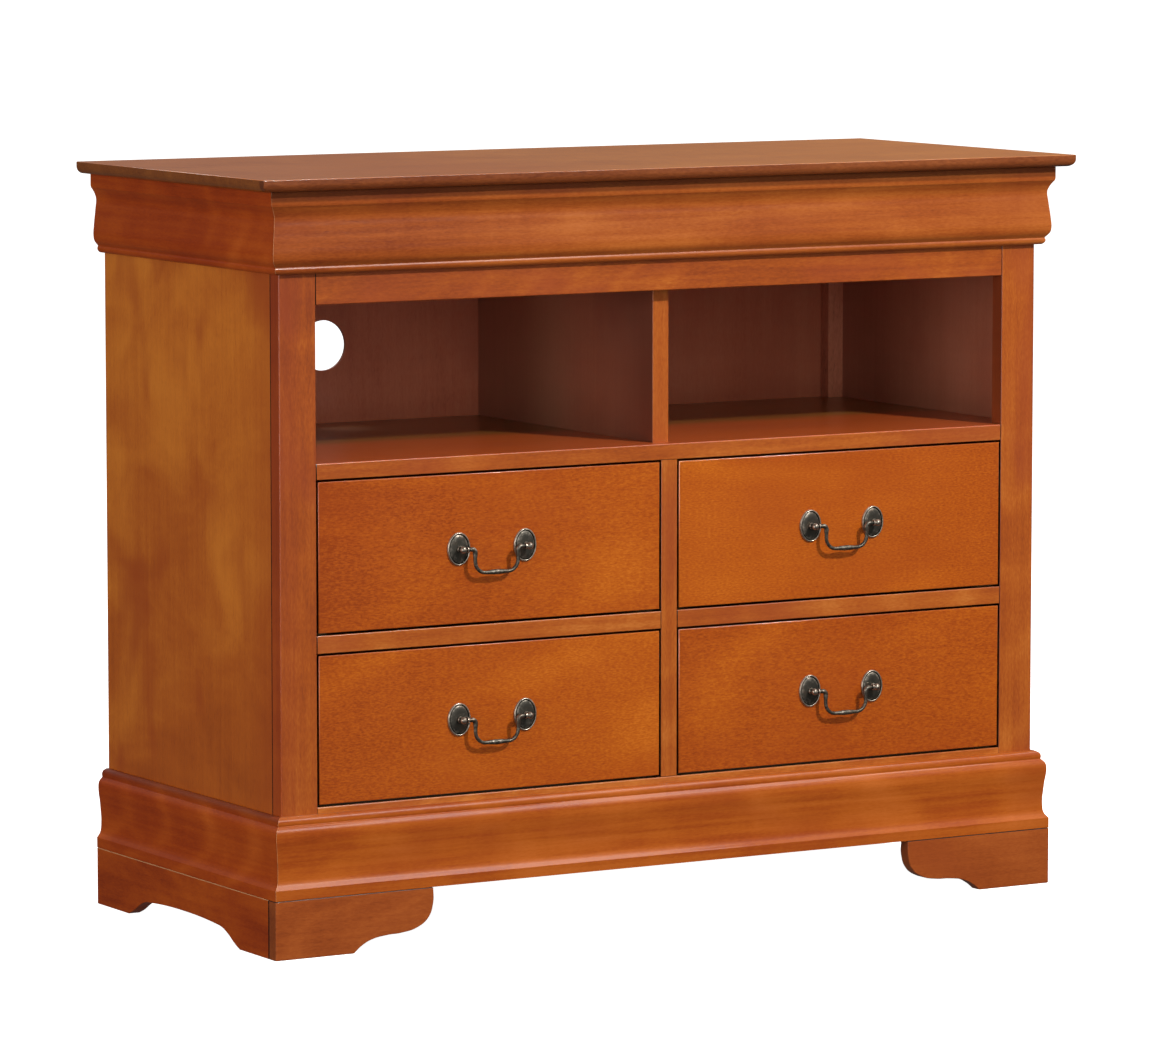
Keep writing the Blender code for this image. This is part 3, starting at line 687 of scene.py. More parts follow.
def close(piece, eased=0.0, smooth_below=50):
    """Faces outwards, arrises eased by a bevel, and smooth shading that keeps flats flat."""
    select_mesh()
    bpy.ops.mesh.remove_doubles(threshold=tiny / 10)
    bpy.ops.mesh.normals_make_consistent(inside=False)
    mode("OBJECT")
    if eased:
        limit = {"limit_method": "ANGLE", "angle_limit": sharp_angle}
        modify(piece, "BEVEL", width=eased, segments=2, **limit)
    bpy.ops.object.shade_smooth_by_angle(angle=math.radians(smooth_below))
    modify(piece, "WEIGHTED_NORMAL", keep_sharp=True)
    return piece


def copied(pattern, name, place):
    """A copy with its own mesh, whose place is then applied to it."""
    deselect()
    pattern.select_set(True)
    bpy.context.view_layer.objects.active = pattern
    bpy.ops.object.duplicate(linked=False)
    copy = bpy.context.object
    copy.name = copy.data.name = name
    copy.pop("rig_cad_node", None)
    copy.location = place
    bpy.ops.object.transform_apply(location=True, rotation=False, scale=False)
    return copy


def settle(piece, body, slot, material, *replaced):
    """The piece rides on its body and stands for the nodes it replaces. slot is not used."""
    cover(piece, material)
    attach(piece, body)
    if replaced:
        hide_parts(*replaced)
    print(piece.name, "faces:", len(piece.data.polygons))


# %% [markdown]
# ## Eased arrises
# No sharp corner comes out of a workshop. Sandpaper rounds each arris by half a millimetre, and
# that thin round flashes along the drawers and stiles in the light. So each frame board and drawer
# front is copied, its loose triangles are merged, and the edges round its front face are bevelled.

# %% Copy a board and ease its front
def turns_sharply(edge):
    """Whether two faces meet at the edge at about a right angle."""
    return len(edge.link_faces) == 2 and edge.calc_face_angle() > math.radians(60)


def eased_board(node, body, slot, width):
    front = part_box(node)[0].y
    board = copied(nodes[node], f"{node}_eased", (0, 0, 0))
    mode("EDIT")
    select_mesh()
    bpy.ops.mesh.remove_doubles(threshold=tiny)
    bpy.ops.mesh.dissolve_limited(angle_limit=flat_angle)
    pick(board, "EDGE", lambda edge: lies_at(edge, 1, front) and turns_sharply(edge))
    bpy.ops.mesh.bevel(offset=width, segments=3, profile=0.5, affect="EDGES")
    close(board)
    settle(board, body, slot, nodes[node].data.materials[0], node)


frame_arris = 0.0006
drawer_arris = 0.0008
case_boards = "stile_left stile_right centre_stile top_rail mid_rail_left mid_rail_right"
for node in [*case_boards.split(), "shelf_panel", "centre_divider"]:
    eased_board(node, "case", "cherry_frame", frame_arris)
for prefix in prefixes:
    eased_board(f"{prefix}_drawer_front", f"{prefix}_drawer", "cherry_drawer_front", drawer_arris)

# %% [markdown]
# ## The top
# The top is one flat board. A router took a quarter round off its underside, along the front and
# both ends, and sandpaper eased the upper edge. A cube at the board's size has those edges ready
# to bevel. The rear ones stay square, because they face the wall.

# %% Shape the top
top_low, top_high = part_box("top_panel")
under_round = 0.0085
upper_round = 0.0010

top = start_box("top_slab", top_low, top_high)
pick(top, "EDGE", lambda edge: lies_at(edge, 2, top_low.z) and not lies_at(edge, 1, top_high.y))
bpy.ops.mesh.bevel(offset=under_round, segments=10, profile=0.5, affect="EDGES")
pick(top, "EDGE", lambda edge: lies_at(edge, 2, top_high.z) and not lies_at(edge, 1, top_high.y))
bpy.ops.mesh.bevel(offset=upper_round, segments=4, profile=0.5, affect="EDGES")
close(top)
edge_reach = 0.0100
side_share = 0.60
top_skin = 0.0004


def top_edge(axes):
    """The darker stain on the edges: full along the front, weaker on the two ends."""
    front_edge = past("Y", top_low.y + edge_reach, -1)(axes)
    left_edge = past("X", top_low.x + edge_reach, -1)(axes)
    right_edge = past("X", top_high.x - edge_reach, 1)(axes)
    on_the_edge = past("Z", top_high.z - top_skin, -1)(axes)
    return on_the_edge * front_edge.maths("MAXIMUM", (left_edge + right_edge) * side_share)


on_top = past("Z", top_high.z - top_skin, 1)
# Painted: the left end of the top is redder, standing in for less sheen there.
painted_low_sheen_end = [(paint(172, 84, 8), faint(0.5, past("X", -0.12, -1, 0.16), on_top))]
# The top's lean is painted light, lighter towards the right.
material = wood(
    "top_wood", "XYZ", top_stain, (top_low, top_high), seed=71, second=(top_edge_stain, top_edge),
    shade=-0.10, painted_light_lean=0.08, lines=painted_low_sheen_end,
)
settle(top, "case", "cherry_top", material, "top_panel")

# %% [markdown]
# ## Drawing a section
# A moulding is one section pushed along a line, and a bracket foot is one outline cut from a
# board. Both begin as a Bezier curve of sharp corners and smooth points, given as shares of the
# width and the height. Converting it gives a line of edges to fill and extrude.

# %% Corner and smooth points
curve_steps = 12


def corners(*points):
    return [(u, v, "VECTOR") for u, v in points]


def smooth(*points):
    return [(u, v, "AUTO") for u, v in points]


def scaled(shares, width, height, start_u=0, start_v=0):
    return [(start_u + u * width, start_v + v * height, kind) for u, v, kind in shares]


def pushed(name, points, across, origin, run):
    """Draws an outline of (u, v, kind) points, stands it up in space, with u along across, fills
    it and pushes it along a run. The edges that no bend needs are taken out."""
    deselect()
    bpy.ops.curve.primitive_bezier_curve_add()
    outline = bpy.context.object
    outline.name = name
    spline = outline.data.splines[0]
    spline.bezier_points.add(len(points) - len(spline.bezier_points))
    spline.use_cyclic_u = True
    for point, (u, v, kind) in zip(spline.bezier_points, points):
        point.handle_left_type = kind
        point.handle_right_type = kind
        point.co = (u, v, 0)
    outline.data.resolution_u = curve_steps
    across, upward = Vector(across), Vector((0, 0, 1))
    turn = Matrix((across, upward, across.cross(upward))).transposed().to_4x4()
    outline.matrix_world = Matrix.Translation(origin) @ turn
    bpy.ops.object.convert(target="MESH")
    bpy.ops.object.transform_apply()
    mode("EDIT")
    select_mesh()
    bpy.ops.mesh.edge_face_add()
    bpy.ops.mesh.extrude_region_move(TRANSFORM_OT_translate={"value": run})
    select_mesh()
    bpy.ops.mesh.normals_make_consistent(inside=False)
    bpy.ops.mesh.dissolve_limited(angle_limit=flat_angle / 10)
    return bpy.context.object


# %% [markdown]
# ## Cornice and base mouldings
# The cornice has an ogee, a hollow over a swelling nose, between small flat fillets. The base
# carries a bead and a cove over a broad belly. At the front corners two lengths meet in a mitre,
# so each solid is sawn with a plane at 45 degrees. The arrises are eased by less than half a
# millimetre, because only a rounded edge catches the light.

# %% The sections, as shares of the projection and the height
cornice_section = [
    *corners((0, 0.045), (0.33, 0.045)),
    *smooth((0.47, 0.064), (0.535, 0.098)),
    *corners((0.485, 0.127), (0.54, 0.14)),
    *smooth((0.745, 0.19), (0.817, 0.255), (0.78, 0.372), (0.65, 0.585), (0.6, 0.695)),
    *smooth((0.66, 0.738), (0.815, 0.796)),
    *corners((0.97, 0.836), (1, 0.864), (1, 1), (0, 1)),
]
base_section = [
    *corners((0, 0), (1, 0), (1, 0.128)),
    *smooth((0.9, 0.15), (0.745, 0.19), (0.655, 0.29), (0.735, 0.56), (0.86, 0.78), (0.8, 0.84)),
    *corners((0.62, 0.882), (0.53, 0.895)),
    *smooth((0.56, 0.93), (0.48, 0.97)),
    *corners((0.2, 1), (0, 1)),
]
joint_gap = 0.0003
case_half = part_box("stile_right")[1].x
case_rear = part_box("side_panel_left")[1].y
case_size = (2 * case_half, case_rear - case_front)
print("case, mm:", [round(side * 1000, 1) for side in case_size])


# %% Push, mitre and ease the mouldings
sides = {"left": -1, "right": 1}
moulding_arris = 0.0004


def mitre(sign, facing):
    """Saws a length at 45 degrees at a front corner, half a gap back from the corner's plane."""
    outward = Vector((facing * sign, facing, 0)).normalized()
    corner = Vector((sign * case_half, case_front, 0)) - outward * joint_gap / 2
    select_mesh()
    bpy.ops.mesh.bisect(plane_co=corner, plane_no=outward, use_fill=True, clear_outer=True)


def front_length(name, node, section):
    """The length along the front, mitred at both ends."""
    low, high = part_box(node)
    wall = case_front - joint_gap
    reach = high.x + joint_gap * 4
    points = scaled(section, wall - low.y, high.z - low.z)
    piece = pushed(name, points, (0, -1, 0), (-reach, wall, low.z), (2 * reach, 0, 0))
    for sign in sides.values():
        mitre(sign, 1)
    return close(piece, moulding_arris)


def side_length(name, node, section, sign):
    """The length along one side, mitred at its front end."""
    low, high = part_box(node)
    reach = high.y - low.y + joint_gap * 4
    points = scaled(section, high.x - low.x, high.z - low.z)
    origin = (sign * (case_half + joint_gap), high.y, low.z)
    piece = pushed(name, points, (sign, 0, 0), origin, (0, -reach, 0))
    mitre(sign, -1)
    return close(piece, moulding_arris)


def under(node, begins, full, share):
    """Painted shade under a piece's upper edge, from begins to full below it."""
    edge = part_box(node)[1].z
    return joint_dark_and_painted_shade, lambda axes: axes["Z"].rise(edge - begins, edge - full) * share


def mitre_highlight_line(sign):
    """A painted highlight along the sharp edge where two lengths meet."""
    width = 0.0009

    def where(axes):
        past_corner = case_half + case_front - axes["Y"] - axes["X"] * sign
        return abs(past_corner).rise(width, width / 2) * 0.5

    return where


# Painted highlights along both front mitres.
crest_highlights = [(painted_arris_highlight, mitre_highlight_line(sign)) for sign in sides.values()]
# Painted shadow of the top on the cornice's upper fillet, and painted shade on the base's side
# ledge.
painted_shadow_under_top = under("cornice_front", 0.0128, 0.0095, 0.45)
painted_shade_on_ledge = under("base_moulding_front", 0.012, 0.001, 0.4)
# Each front length's stain, shade, painted lean of light along it, and lines.
cornice_finish = (cornice_stain, -0.05, 0.08, [*crest_highlights, painted_shadow_under_top])
base_finish = (base_stain, 0.03, 0.05, crest_highlights)
moulding_seed = 80
for label, node, section, front_finish, side_shade, side_lines in (
    ("cornice", "cornice", cornice_section, cornice_finish, 0.0, ()),
    ("base", "base_moulding", base_section, base_finish, -0.02, [painted_shade_on_ledge]),
):
    for side, sign in (("front", 0), *sides.items()):
        length_node = f"{node}_{side}"
        name = f"{label}_length_{side}"
        moulding_seed += 1
        if sign:
            piece = side_length(name, length_node, section, sign)
            grain, finish = "YZX", (side_moulding_stain, side_shade, 0.0, side_lines)
        else:
            piece = front_length(name, length_node, section)
            grain, finish = "XZY", front_finish
        mixed, shade, painted_light_lean, lines = finish
        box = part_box(length_node)
        name = f"{label}_{side}_wood"
        material = wood(name, grain, mixed, box, moulding_seed, None, shade, painted_light_lean, lines)
        settle(piece, "case", "cherry_moulding", material, length_node)

# %% [markdown]
# ## Bracket feet and side aprons
# Each front foot is a short board with a cove and a round sawn into its lower edge. On the sides
# one long board makes both feet, with an ogee at each end of a shallow arch. Behind them a glued
# block takes the weight.

# %% The foot's and the apron's outlines
foot_pad = 0.098
foot_shelf = 0.0175
cove_shares = [*corners((0, 0)), *smooth((0.09, 0.42), (0.22, 0.78), (0.42, 0.97))]
round_shares = smooth((0.6, 0.01), (0.8, 0.1), (0.94, 0.31), (1, 0.65))
side_pad = 0.086
rear_pad = 0.079
ogee_length = 0.056
arch_height = 0.0205
arch_crown = 0.003
ogee_shares = [*corners((0, 0)), *smooth((0.22, 0.25), (0.5, 0.66), (0.76, 0.92), (1, 1))]
block_size = 0.034
block_chamfer = 0.003
block_arris = 0.0005
foot_arris = 0.0009


def foot_outline(length, height):
    past_pad = length - foot_pad
    return (
        corners((0, 0))
        + scaled(cove_shares, past_pad, foot_shelf, foot_pad)
        + scaled(round_shares, past_pad, height - foot_shelf, foot_pad, foot_shelf)
        + corners((length, height), (0, height))
    )


def apron_outline(start_y, end_y, front_face, height):
    front_pad = front_face + side_pad
    rear_start = end_y - rear_pad
    ogee = scaled(ogee_shares, ogee_length, arch_height, front_pad)
    rear_ogee = [(front_pad + rear_start - y, z, kind) for y, z, kind in reversed(ogee)]
    crown = smooth(((front_pad + rear_start) / 2, arch_height + arch_crown))
    ends = corners((end_y, 0), (end_y, height), (start_y, height))
    return corners((start_y, 0)) + ogee + crown + rear_ogee + ends


# %% Saw the feet, the aprons and their blocks
def glue_block(name, low, high):
    """A square block of waste wood, with the chamfer that keeps it from splitting."""
    low, high = Vector(low), Vector(high)
    piece = start_box(name, low, high)
    pick(piece, "EDGE", lambda edge: not lies_at(edge, 2, low.z) and not lies_at(edge, 2, high.z))
    bpy.ops.mesh.bevel(offset=block_chamfer, segments=1, affect="EDGES")
    return close(piece, block_arris)


def settle_board(piece, name, grain, mixed, node, seed, lines):
    """Eases, stains and settles a foot or an apron."""
    close(piece, foot_arris)
    material = wood(name, grain, mixed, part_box(node), seed, lines=lines)
    settle(piece, "case", "cherry_foot", material, node)


foot_seed, apron_seed, block_seed = 90, 94, 98
for side, sign in sides.items():
    node = f"front_foot_{side}"
    low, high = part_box(node)
    front_face = low.y
    run = (0, case_front - joint_gap - low.y, 0)
    outline = foot_outline(high.x - low.x, high.z)
    outer = sign * max(abs(low.x), abs(high.x))
    foot = pushed(f"bracket_foot_{side}", outline, (-sign, 0, 0), (outer, low.y, 0), run)
    lines = [
        (joint_dark_and_painted_shade, past("Z", high.z - line_width, 1)),
        (joint_dark_and_painted_shade, past("Y", low.y + run[1] - line_width, 1)),
    ]
    name = f"bracket_foot_{side}_wood"
    settle_board(foot, name, "XZY", foot_stain, node, foot_seed + sign, lines)

    node = f"side_apron_{side}"
    low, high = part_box(node)
    inner = sign * (case_half + joint_gap)
    outer = sign * max(abs(low.x), abs(high.x))
    outline = apron_outline(low.y, high.y, front_face, high.z)
    run = (outer - inner, 0, 0)
    apron = pushed(f"side_apron_board_{side}", outline, (0, 1, 0), (inner, 0, 0), run)
    lines = [
        # A painted highlight along the apron's top arris, and a dark joint at its front end.
        (painted_arris_highlight, past("Z", high.z - line_width, 1)),
        (joint_dark_and_painted_shade, past("Y", low.y + 2 * line_width, -1)),
    ]
    settle_board(apron, f"{node}_wood", "YZX", apron_stain, node, apron_seed + sign, lines)

    near, far = sorted((sign * (case_half - block_size), sign * case_half))
    for end, start_y in (("front", case_front), ("rear", case_rear - block_size)):
        name = f"{end}_glue_block_{side}"
        box = ((near, start_y, 0), (far, start_y + block_size, high.z))
        piece = glue_block(name, *box)
        material = wood(f"{name}_wood", "ZXY", bare_stain, box, block_seed + sign)
        settle(piece, "case", "cherry_foot", material)

# %% [markdown]
# ## Worn metal
# The pulls are cast and plated in dark antique pewter. Where hands rub, on rims and crests, the
# plating has gone bright, and in the hollows it stays nearly black. The bright crests are also a
# painted highlight, most of all on the posts' round balls. The mesh knows how much a point stands
# out: its edges point away from its normal on a crest, and towards it in a hollow. That is measured
# once and kept as an attribute.

# %% Measure crests and hollows
def mark_crests(piece, sharpness):
    """Stores a value from 0 in a hollow to 1 on a crest, with 0.5 where the surface is flat."""
    shape = bmesh.new()
    shape.from_mesh(piece.data)
    shape.normal_update()
    raw, crest_highlights = [], []
    for corner in shape.verts:
        ends = [edge.other_vert(corner).co for edge in corner.link_edges]
        steps = [(end - corner.co).normalized() for end in ends]
        raw.append(-sum((step.dot(corner.normal) for step in steps), 0) / max(len(steps), 1))
    for corner in shape.verts:
        near = [raw[edge.other_vert(corner).index] for edge in corner.link_edges]
        crest_highlights.append((raw[corner.index] * 2 + sum(near)) / (2 + len(near)))
    shape.free()
    attribute = piece.data.attributes.new("crest", "FLOAT", "POINT")
    crests = [min(max(0.5 + value * sharpness, 0), 1) for value in crest_highlights]
    attribute.data.foreach_set("value", crests)


cast_relief = 0.00008


def pewter(name, seed):
    finish = Finish(name)
    place = finish.vectors("ADD", finish.place(), (seed, seed * 0.7, 0))
    crest = finish.node("ShaderNodeAttribute", {"attribute_name": "crest"}, {}, "Fac")
    mottle = finish.noise(place, (240, 240, 240), detail=4) - 0.5
    stipple = finish.noise(place, (1500, 1500, 1500), detail=1) - 0.5
    # Bright where crests are worn, and a painted highlight there too.
    bright = (crest + mottle * 0.45).rise(0.56, 0.86)
    dark = (crest + mottle * 0.3).rise(0.30, 0.5)
    field = finish.mix(dark, paint(24, 23, 21), paint(80, 76, 68))
    colour = finish.mix(bright, field, paint(196, 182, 165))
    warm = finish.noise(place, (90, 90, 90)).rise(0.52, 0.7)
    colour = finish.mix(warm * 0.3, colour, paint(120, 96, 78))
    return finish.set(
        base_color=colour,
        metallic=0.9,
        roughness=0.46 - bright * 0.18 + mottle * 0.1,
        specular_ior_level=0.5,
        normal=finish.bump(stipple + mottle, cast_relief, 0.5),
    )


# %% [markdown]
# ## Rosettes
# The plate behind each post is an oval with a raised rim, a dark groove and a slightly domed
# field. From the front it is a set of ovals inside each other, which is what Inset draws, each a
# little further in and up or down.

# %% Inset the rosette
pull_y = case_front - joint_gap
rosette_width = 0.0290
rosette_tall = 0.0373
rosette_rise = 0.0009
rosette_insets = [
    (0.0003, 0.0006), (0.0003, 0.0004), (0.0004, 0.0002), (0.0004, 0.0000), (0.0004, -0.0002),
    (0.0003, -0.0005), (0.0002, -0.0006), (0.0003, 0.0000), (0.0003, 0.0004), (0.0006, 0.0003),
    (0.0014, 0.0004), (0.0020, 0.0003), (0.0022, 0.0001), (0.0020, 0.0000),
]
rosette = start(
    "rosette_pattern", bpy.ops.mesh.primitive_circle_add, vertices=72, radius=rosette_width / 2,
    fill_type="NGON", rotation=(math.pi / 2, 0, 0),
)
select_mesh()
bpy.ops.transform.resize(value=(1, 1, rosette_tall / rosette_width), center_override=(0, 0, 0))
bpy.ops.mesh.extrude_region_move(TRANSFORM_OT_translate={"value": (0, -rosette_rise, 0)})
for width, step in rosette_insets:
    bpy.ops.mesh.inset(thickness=width, depth=step, use_even_offset=True)
close(rosette)
mark_crests(rosette, sharpness=2.2)
front_most = min(corner.co.y for corner in rosette.data.vertices)
print("rosette rises, mm:", round(-front_most * 1000, 2))

# %% [markdown]
# ## Posts on the lathe
# A post is turned: a boss, a thin neck and a ball that holds the bail's pin. Spin is a lathe too:
# the section is drawn by extruding one vertex from point to point, and spun round an axis.

# %% A small lathe
def lathe(name, section, steps=40):
    """Spins a section of (radius, reach) round the Y axis. It reaches out towards -Y."""
    piece = start(name, bpy.ops.mesh.primitive_plane_add, size=0.001)
    select_mesh()
    bpy.ops.mesh.merge(type="CENTER")
    bpy.ops.mesh.select_mode(type="VERT")
    select_mesh()
    radius, reach = section[0]
    bpy.ops.transform.translate(value=(radius, -reach, 0))
    for next_radius, next_reach in section[1:]:
        step = (next_radius - radius, reach - next_reach, 0)
        bpy.ops.mesh.extrude_vertices_move(TRANSFORM_OT_translate={"value": step})
        radius, reach = next_radius, next_reach
    select_mesh()
    bpy.ops.mesh.spin(steps=steps, angle=2 * math.pi, center=(0, 0, 0), axis=(0, 1, 0))
    return piece


ball_radius = 0.0039
ball_reach = 0.011
neck_radius = 0.0023
boss_radius = 0.0037
boss_reach = 0.0047
ball_steps = 14
waist = math.asin(neck_radius / ball_radius)
ball_angles = [i * (math.pi - waist) / ball_steps for i in range(ball_steps + 1)]
ball = [
    (ball_radius * math.sin(angle), ball_reach + ball_radius * math.cos(angle))
    for angle in ball_angles
]
neck_and_boss = [
    (neck_radius * 1.02, 0.0016), (neck_radius * 1.25, 0.0009), (boss_radius * 0.86, 0.0003),
    (boss_radius, -0.0003), (boss_radius, -0.0012), (boss_radius * 0.84, -0.0018),
    (boss_radius * 0.84, -0.0024), (boss_radius * 1.25, -0.0030), (boss_radius * 1.25, -0.0042),
    (0, -0.0042),
]
post_section = ball + [(radius, boss_reach + step) for radius, step in neck_and_boss]
post = lathe("post_pattern", post_section)
close(post)
# Sharp enough that the whole ball reads as a crest: a painted highlight on it.
mark_crests(post, sharpness=3.0)
print("post, mm:", round((ball_reach + ball_radius) * 1000, 1), "long")

# %% [markdown]
# ## The bail
# The bail is one forged wire. A thin pin at each end turns in the ball, next to a collar. The wire
# turns down in a tight bend, runs down the leg, and sweeps into a grip that swells in the middle.
# An open ring is extruded for the straight runs, spun for the bends and scaled for the swellings,
# and a Mirror modifier makes the other half.

# %% Forge half a bail and mirror it
pin_radius = 0.0015
collar_radius = 0.0032
knuckle_radius = 0.0027
collar_width = 0.0016
collar_gap = 0.0005
collar_round = 0.0003
wire_radius = 0.0021
grip_radius = 0.0030
post_spacing = 0.085
leg_half = 0.0275
bail_drop = 0.0268
upper_bend = 0.0040
lower_bend = 0.0130
swell_shares = [0.1, 0.3, 0.55, 0.78, 0.93, 1.0]
ball_inner = post_spacing / 2 - ball_radius
pin_depth = 0.0020
leg_shares = ((0.25, 0.0026), (0.25, 0.0023), (0.20, wire_radius))
shoulder = 1.10


def open_end():
    """The middle of the selected ring, which is the wire's open end."""
    shape = bmesh.from_edit_mesh(bpy.context.object.data)
    ring = [corner.co for corner in shape.verts if corner.select]
    return sum(ring, Vector()) / len(ring)


def draw_out(x=0.0, z=0.0, grow=1.0):
    """Extrudes the open end by a step, and swells or narrows the new ring."""
    bpy.ops.mesh.extrude_edges_move(TRANSFORM_OT_translate={"value": (x, 0, z)})
    if grow != 1:
        bpy.ops.transform.resize(value=(grow, grow, grow), center_override=open_end())


bail = start(
    "bail_pattern", bpy.ops.mesh.primitive_circle_add, vertices=20, radius=pin_radius,
    fill_type="NOTHING", location=(ball_inner + pin_depth, 0, 0), rotation=(0, math.pi / 2, 0),
)
bpy.ops.mesh.select_mode(type="EDGE")
select_mesh()
collar_edge = collar_radius * 0.86
draw_out(x=-(pin_depth + collar_gap))
draw_out(x=-tiny, grow=collar_edge / pin_radius)
draw_out(x=-collar_round, grow=collar_radius / collar_edge)
draw_out(x=2 * collar_round - collar_width)
draw_out(x=-collar_round, grow=collar_edge / collar_radius)
draw_out(x=-tiny, grow=wire_radius / collar_edge)
to_bend = leg_half + upper_bend - open_end().x
draw_out(x=to_bend / 2, grow=shoulder)
draw_out(x=to_bend / 2, grow=knuckle_radius / (wire_radius * shoulder))
bend = {"angle": math.pi / 2, "axis": (0, 1, 0)}
bpy.ops.mesh.spin(steps=8, center=(leg_half + upper_bend, 0, -upper_bend), **bend)
leg_length = bail_drop - lower_bend - upper_bend
thick = knuckle_radius
for share, next_thick in leg_shares:
    draw_out(z=-leg_length * share, grow=next_thick / thick)
    thick = next_thick
draw_out(z=-leg_length * 0.30)
bend["angle"] = -math.pi / 2
bpy.ops.mesh.spin(steps=14, center=(leg_half - lower_bend, 0, lower_bend - bail_drop), **bend)
grip_step = open_end().x / len(swell_shares)
for share in swell_shares:
    next_thick = wire_radius + (grip_radius - wire_radius) * share
    draw_out(x=-grip_step, grow=next_thick / thick)
    thick = next_thick
mode("OBJECT")
modify(bail, "MIRROR", merge_threshold=tiny)
mode("EDIT")
select_mesh()
bpy.ops.mesh.fill_holes(sides=0)
close(bail)
mark_crests(bail, sharpness=1.2)
print("bail, mm:", [round(side * 1000, 1) for side in bail.dimensions])

# %% [markdown]
# ## Pulls on the drawers
# Each drawer gets two rosettes, two posts and one bail, as copies with meshes of their own, moved
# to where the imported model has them. The bail rides on a body of its own, because it lifts when a
# hand takes it.

# %% Copy the pulls
pull_metal = pewter("antique_pewter_worn", seed=3)
for prefix in prefixes:
    drawer, bail_node = f"{prefix}_drawer", f"{prefix}_pull_bail"
    bail_low, bail_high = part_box(bail_node)
    middle_x = (bail_low.x + bail_high.x) / 2
    for side, sign in sides.items():
        node = f"{prefix}_pull_post_{side}"
        post_low, post_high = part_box(node)
        middle_z = (post_low.z + post_high.z) / 2
        place = Vector((middle_x + sign * post_spacing / 2, pull_y, middle_z))
        for pattern, name in ((rosette, "rosette"), (post, "ball_post")):
            piece = copied(pattern, f"{prefix}_{name}_{side}", place)
            settle(piece, drawer, "antique_pewter", pull_metal, node)
    pivot = place + Vector((0, -ball_reach, 0))
    handle = copied(bail, f"{prefix}_bail_handle", (middle_x, pivot.y, pivot.z))
    settle(handle, f"{prefix}_bail", "antique_pewter", pull_metal, bail_node)

for pattern in (rosette, post, bail):
    bpy.data.objects.remove(pattern)

# %% [markdown]
# ## Fastenings
# Brads hold the thin back in its rebate and to the shelf, and a screw with a washer holds each
# post from inside its drawer. Both are turned on the same lathe, and a Boolean modifier cuts the
# screw's slot with a thin bar.

# %% Screws inside the drawers
zinc = Finish("zinc_plate")
zinc_mottle = zinc.noise(zinc.place(), (700, 700, 700), detail=3)
zinc_colour = zinc.mix(zinc_mottle, paint(150, 150, 142), paint(206, 204, 190))
zinc.set(base_color=zinc_colour, metallic=0.95, roughness=zinc_mottle * 0.2 + 0.24)

screw_section = [
    (0, -0.0030), (0.0022, -0.0028), (0.0034, -0.0021), (0.0040, -0.0012), (0.0040, -0.0008),
    (0.0058, -0.0008), (0.0058, 0), (0, 0),
]
screw = lathe("screw_pattern", screw_section, steps=32)
close(screw)
bar = {"size": 1, "location": (0, 0.0030, 0), "scale": (0.010, 0.0020, 0.0011)}
slot_bar = start("slot_bar", bpy.ops.mesh.primitive_cube_add, **bar)
mode("OBJECT")
deselect()
bpy.context.view_layer.objects.active = screw
modify(screw, "BOOLEAN", object=slot_bar)
bpy.data.objects.remove(slot_bar)
mode("EDIT")
close(screw, smooth_below=30)

for prefix in prefixes:
    inner_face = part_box(f"{prefix}_drawer_front")[1].y
    for side in sides:
        post_low, post_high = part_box(f"{prefix}_pull_post_{side}")
        middle = (post_low + post_high) / 2
        piece = copied(screw, f"{prefix}_pull_screw_{side}", (middle.x, inner_face, middle.z))
        settle(piece, f"{prefix}_drawer", "antique_pewter", zinc.material)
bpy.data.objects.remove(screw)

# %% Brads in the back
brad_margin = 0.010
brad_spacing = 0.09
brad_section = [(0, -0.0005), (0.0010, -0.0004), (0.0015, -0.0001), (0.0015, 0), (0, 0)]
brad = lathe("brad_pattern", brad_section, steps=12)
close(brad)


def spaced(first, last):
    """Even places from first to last, about a brad's spacing apart."""
    count = round((last - first) / brad_spacing)
    return [first + (last - first) * i / count for i in range(count + 1)]


back_low, back_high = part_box("back_panel")
columns = spaced(back_low.x + brad_margin, back_high.x - brad_margin)
levels = spaced(back_low.z + brad_margin, back_high.z - brad_margin)
shelf_low, shelf_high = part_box("shelf_panel")
shelf_level = (shelf_low.z + shelf_high.z) / 2
brad_places = {(x, z) for x in columns for z in (levels[0], shelf_level, levels[-1])}
brad_places |= {(x, z) for x in (columns[0], columns[-1]) for z in levels}
heads = [copied(brad, "brad_head", (x, back_high.y, z)) for x, z in sorted(brad_places)]
deselect()
for head in heads:
    head.select_set(True)
bpy.context.view_layer.objects.active = heads[0]
bpy.ops.object.join()
heads[0].name = heads[0].data.name = "back_brads"
settle(heads[0], "case", "antique_pewter", zinc.material)
bpy.data.objects.remove(brad)
print("brads:", len(brad_places))

# %% [markdown]
# ## The studio
# The floor is one pale plane, so wide that its far end lies at the horizon. A small lamp in front,
# above and a little to the right makes the shadows, and larger ones fill them. The room is a sky:
# dim at eye level, so that the lacquer mirrors little, and bright overhead, like a studio's
# ceiling of light. The floor is kept out of the lacquer's reflections.

# %% The floor
bpy.context.scene.view_settings.view_transform = "Standard"

floor_size = 160
bpy.ops.mesh.primitive_plane_add(size=floor_size)
floor = bpy.context.object
floor.name = "studio_floor"
paper = Finish("studio_paper")
paper.set(
    base_color=(0.80, 0.80, 0.80, 1), roughness=0.9, specular_ior_level=0.1,
    emission_color=(1, 1, 1, 1), emission_strength=1.0,
)
cover(floor, paper.material)
floor.visible_diffuse = False
floor.visible_glossy = False
floor.visible_shadow = False
floor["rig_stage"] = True


# %% The room's light and what the lacquer mirrors
class Sky(Finish):
    """The world's light, mixed with the same nodes."""

    def __init__(self, name):
        self.world = bpy.data.worlds.new(name)
        self.world.use_nodes = True
        self.tree = self.world.node_tree
        bpy.context.scene.world = self.world


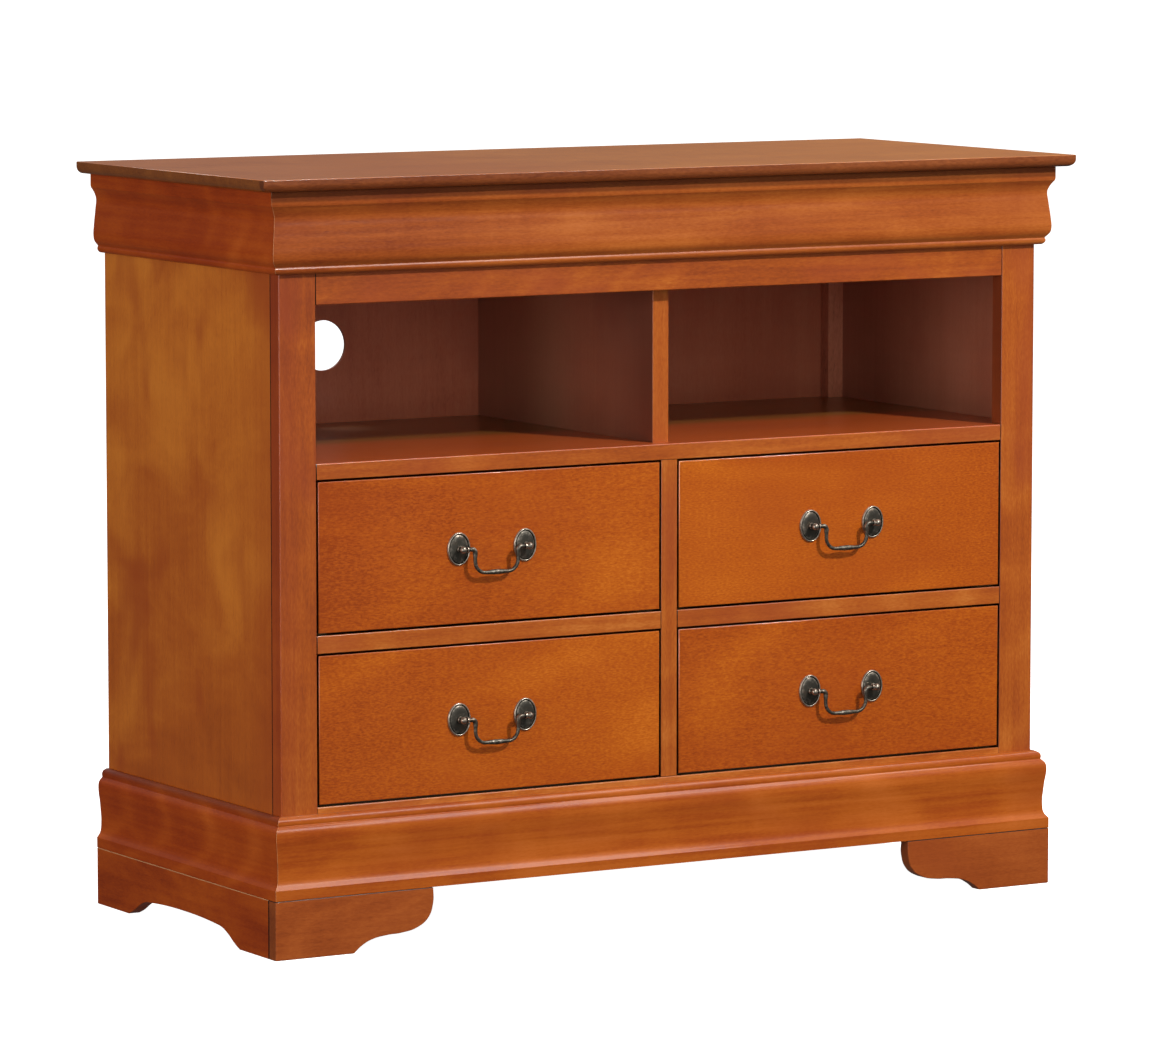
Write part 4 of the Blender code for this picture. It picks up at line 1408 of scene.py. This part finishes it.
room = Sky("studio_room")
ray = room.node("ShaderNodeLightPath", {}, {}, "Is Camera Ray")
glossy_ray = room.node("ShaderNodeLightPath", {}, {}, "Is Glossy Ray")
towards = room.axes(room.node("ShaderNodeTexCoord", {}, {}, "Generated"))
above = towards["Z"].rise(0.05, 0.8)
ahead = (0 - towards["Y"]).rise(0.3, 0.95)
overhead = above * (0.06 + towards["X"].rise(-0.6, 0.6) * 0.26)
astern = towards["Y"].rise(0.3, 0.95)
soft_light = 0.07 + towards["Z"].rise(-0.4, 0.1) * 0.07 + overhead + ahead * 0.11 + astern * 0.14
behind = towards["Y"].rise(0.5, 0.9) * towards["Z"].rise(0.0, 0.08)
mirrored = 0.05 + above * 0.30 + behind * 0.05
strength = soft_light + (mirrored - soft_light) * glossy_ray
strength = strength + (1 - strength) * ray
room.feed(room.tree.nodes["Background"].inputs["Strength"], strength)
room.feed(room.tree.nodes["Background"].inputs["Color"], (1, 1, 1, 1))


# %% The lamps
def lamp(name, place, target, size, share):
    """A square soft box that points at the chest, and its share of full light there."""
    place, target = Vector(place), Vector(target)
    bpy.ops.object.light_add(type="AREA", location=place)
    made = bpy.context.object
    made.name = name
    made.rotation_euler = (target - place).to_track_quat("-Z", "Y").to_euler()
    made.data.size = size
    made.data.energy = share * math.pi**2 * (target - place).length_squared
    made.visible_camera = False
    print(name, "W:", round(made.data.energy))
    return made


lamp("key_lamp", (1.26, -3.2, 2.97), (0, -0.2, 0.45), 0.2, 0.85)
lamp("front_lamp", (-1.2, -7.8, 1.5), (0, -0.2, 0.5), 3.6, 0.17)
lamp("right_lamp", (3.6, -1.8, 1.5), (0.3, 0, 0.5), 1.2, 0.06)
lamp("left_lamp", (-3.8, -1.5, 0.9), (-0.4, 0, 0.5), 1.8, 0.42)
lamp("rear_lamp", (0.1, 3.4, 4.6), (0, 0.2, 0.5), 1.6, 0.32)
ceiling = lamp("ceiling_lamp", (1.5, -0.8, 2.6), (0, -0.2, 0.45), 2.6, 0.31)
ceiling.data.shape = "RECTANGLE"
ceiling.data.size_y = 0.7

# %% [markdown]
# ## Size
# The dressed chest's box is measured and printed. The dressed chest has to stay inside the box
# of the built one.

# %% Measure the dressed chest
low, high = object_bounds()
print("visual, mm:", [round(side * 1000, 1) for side in high - low])
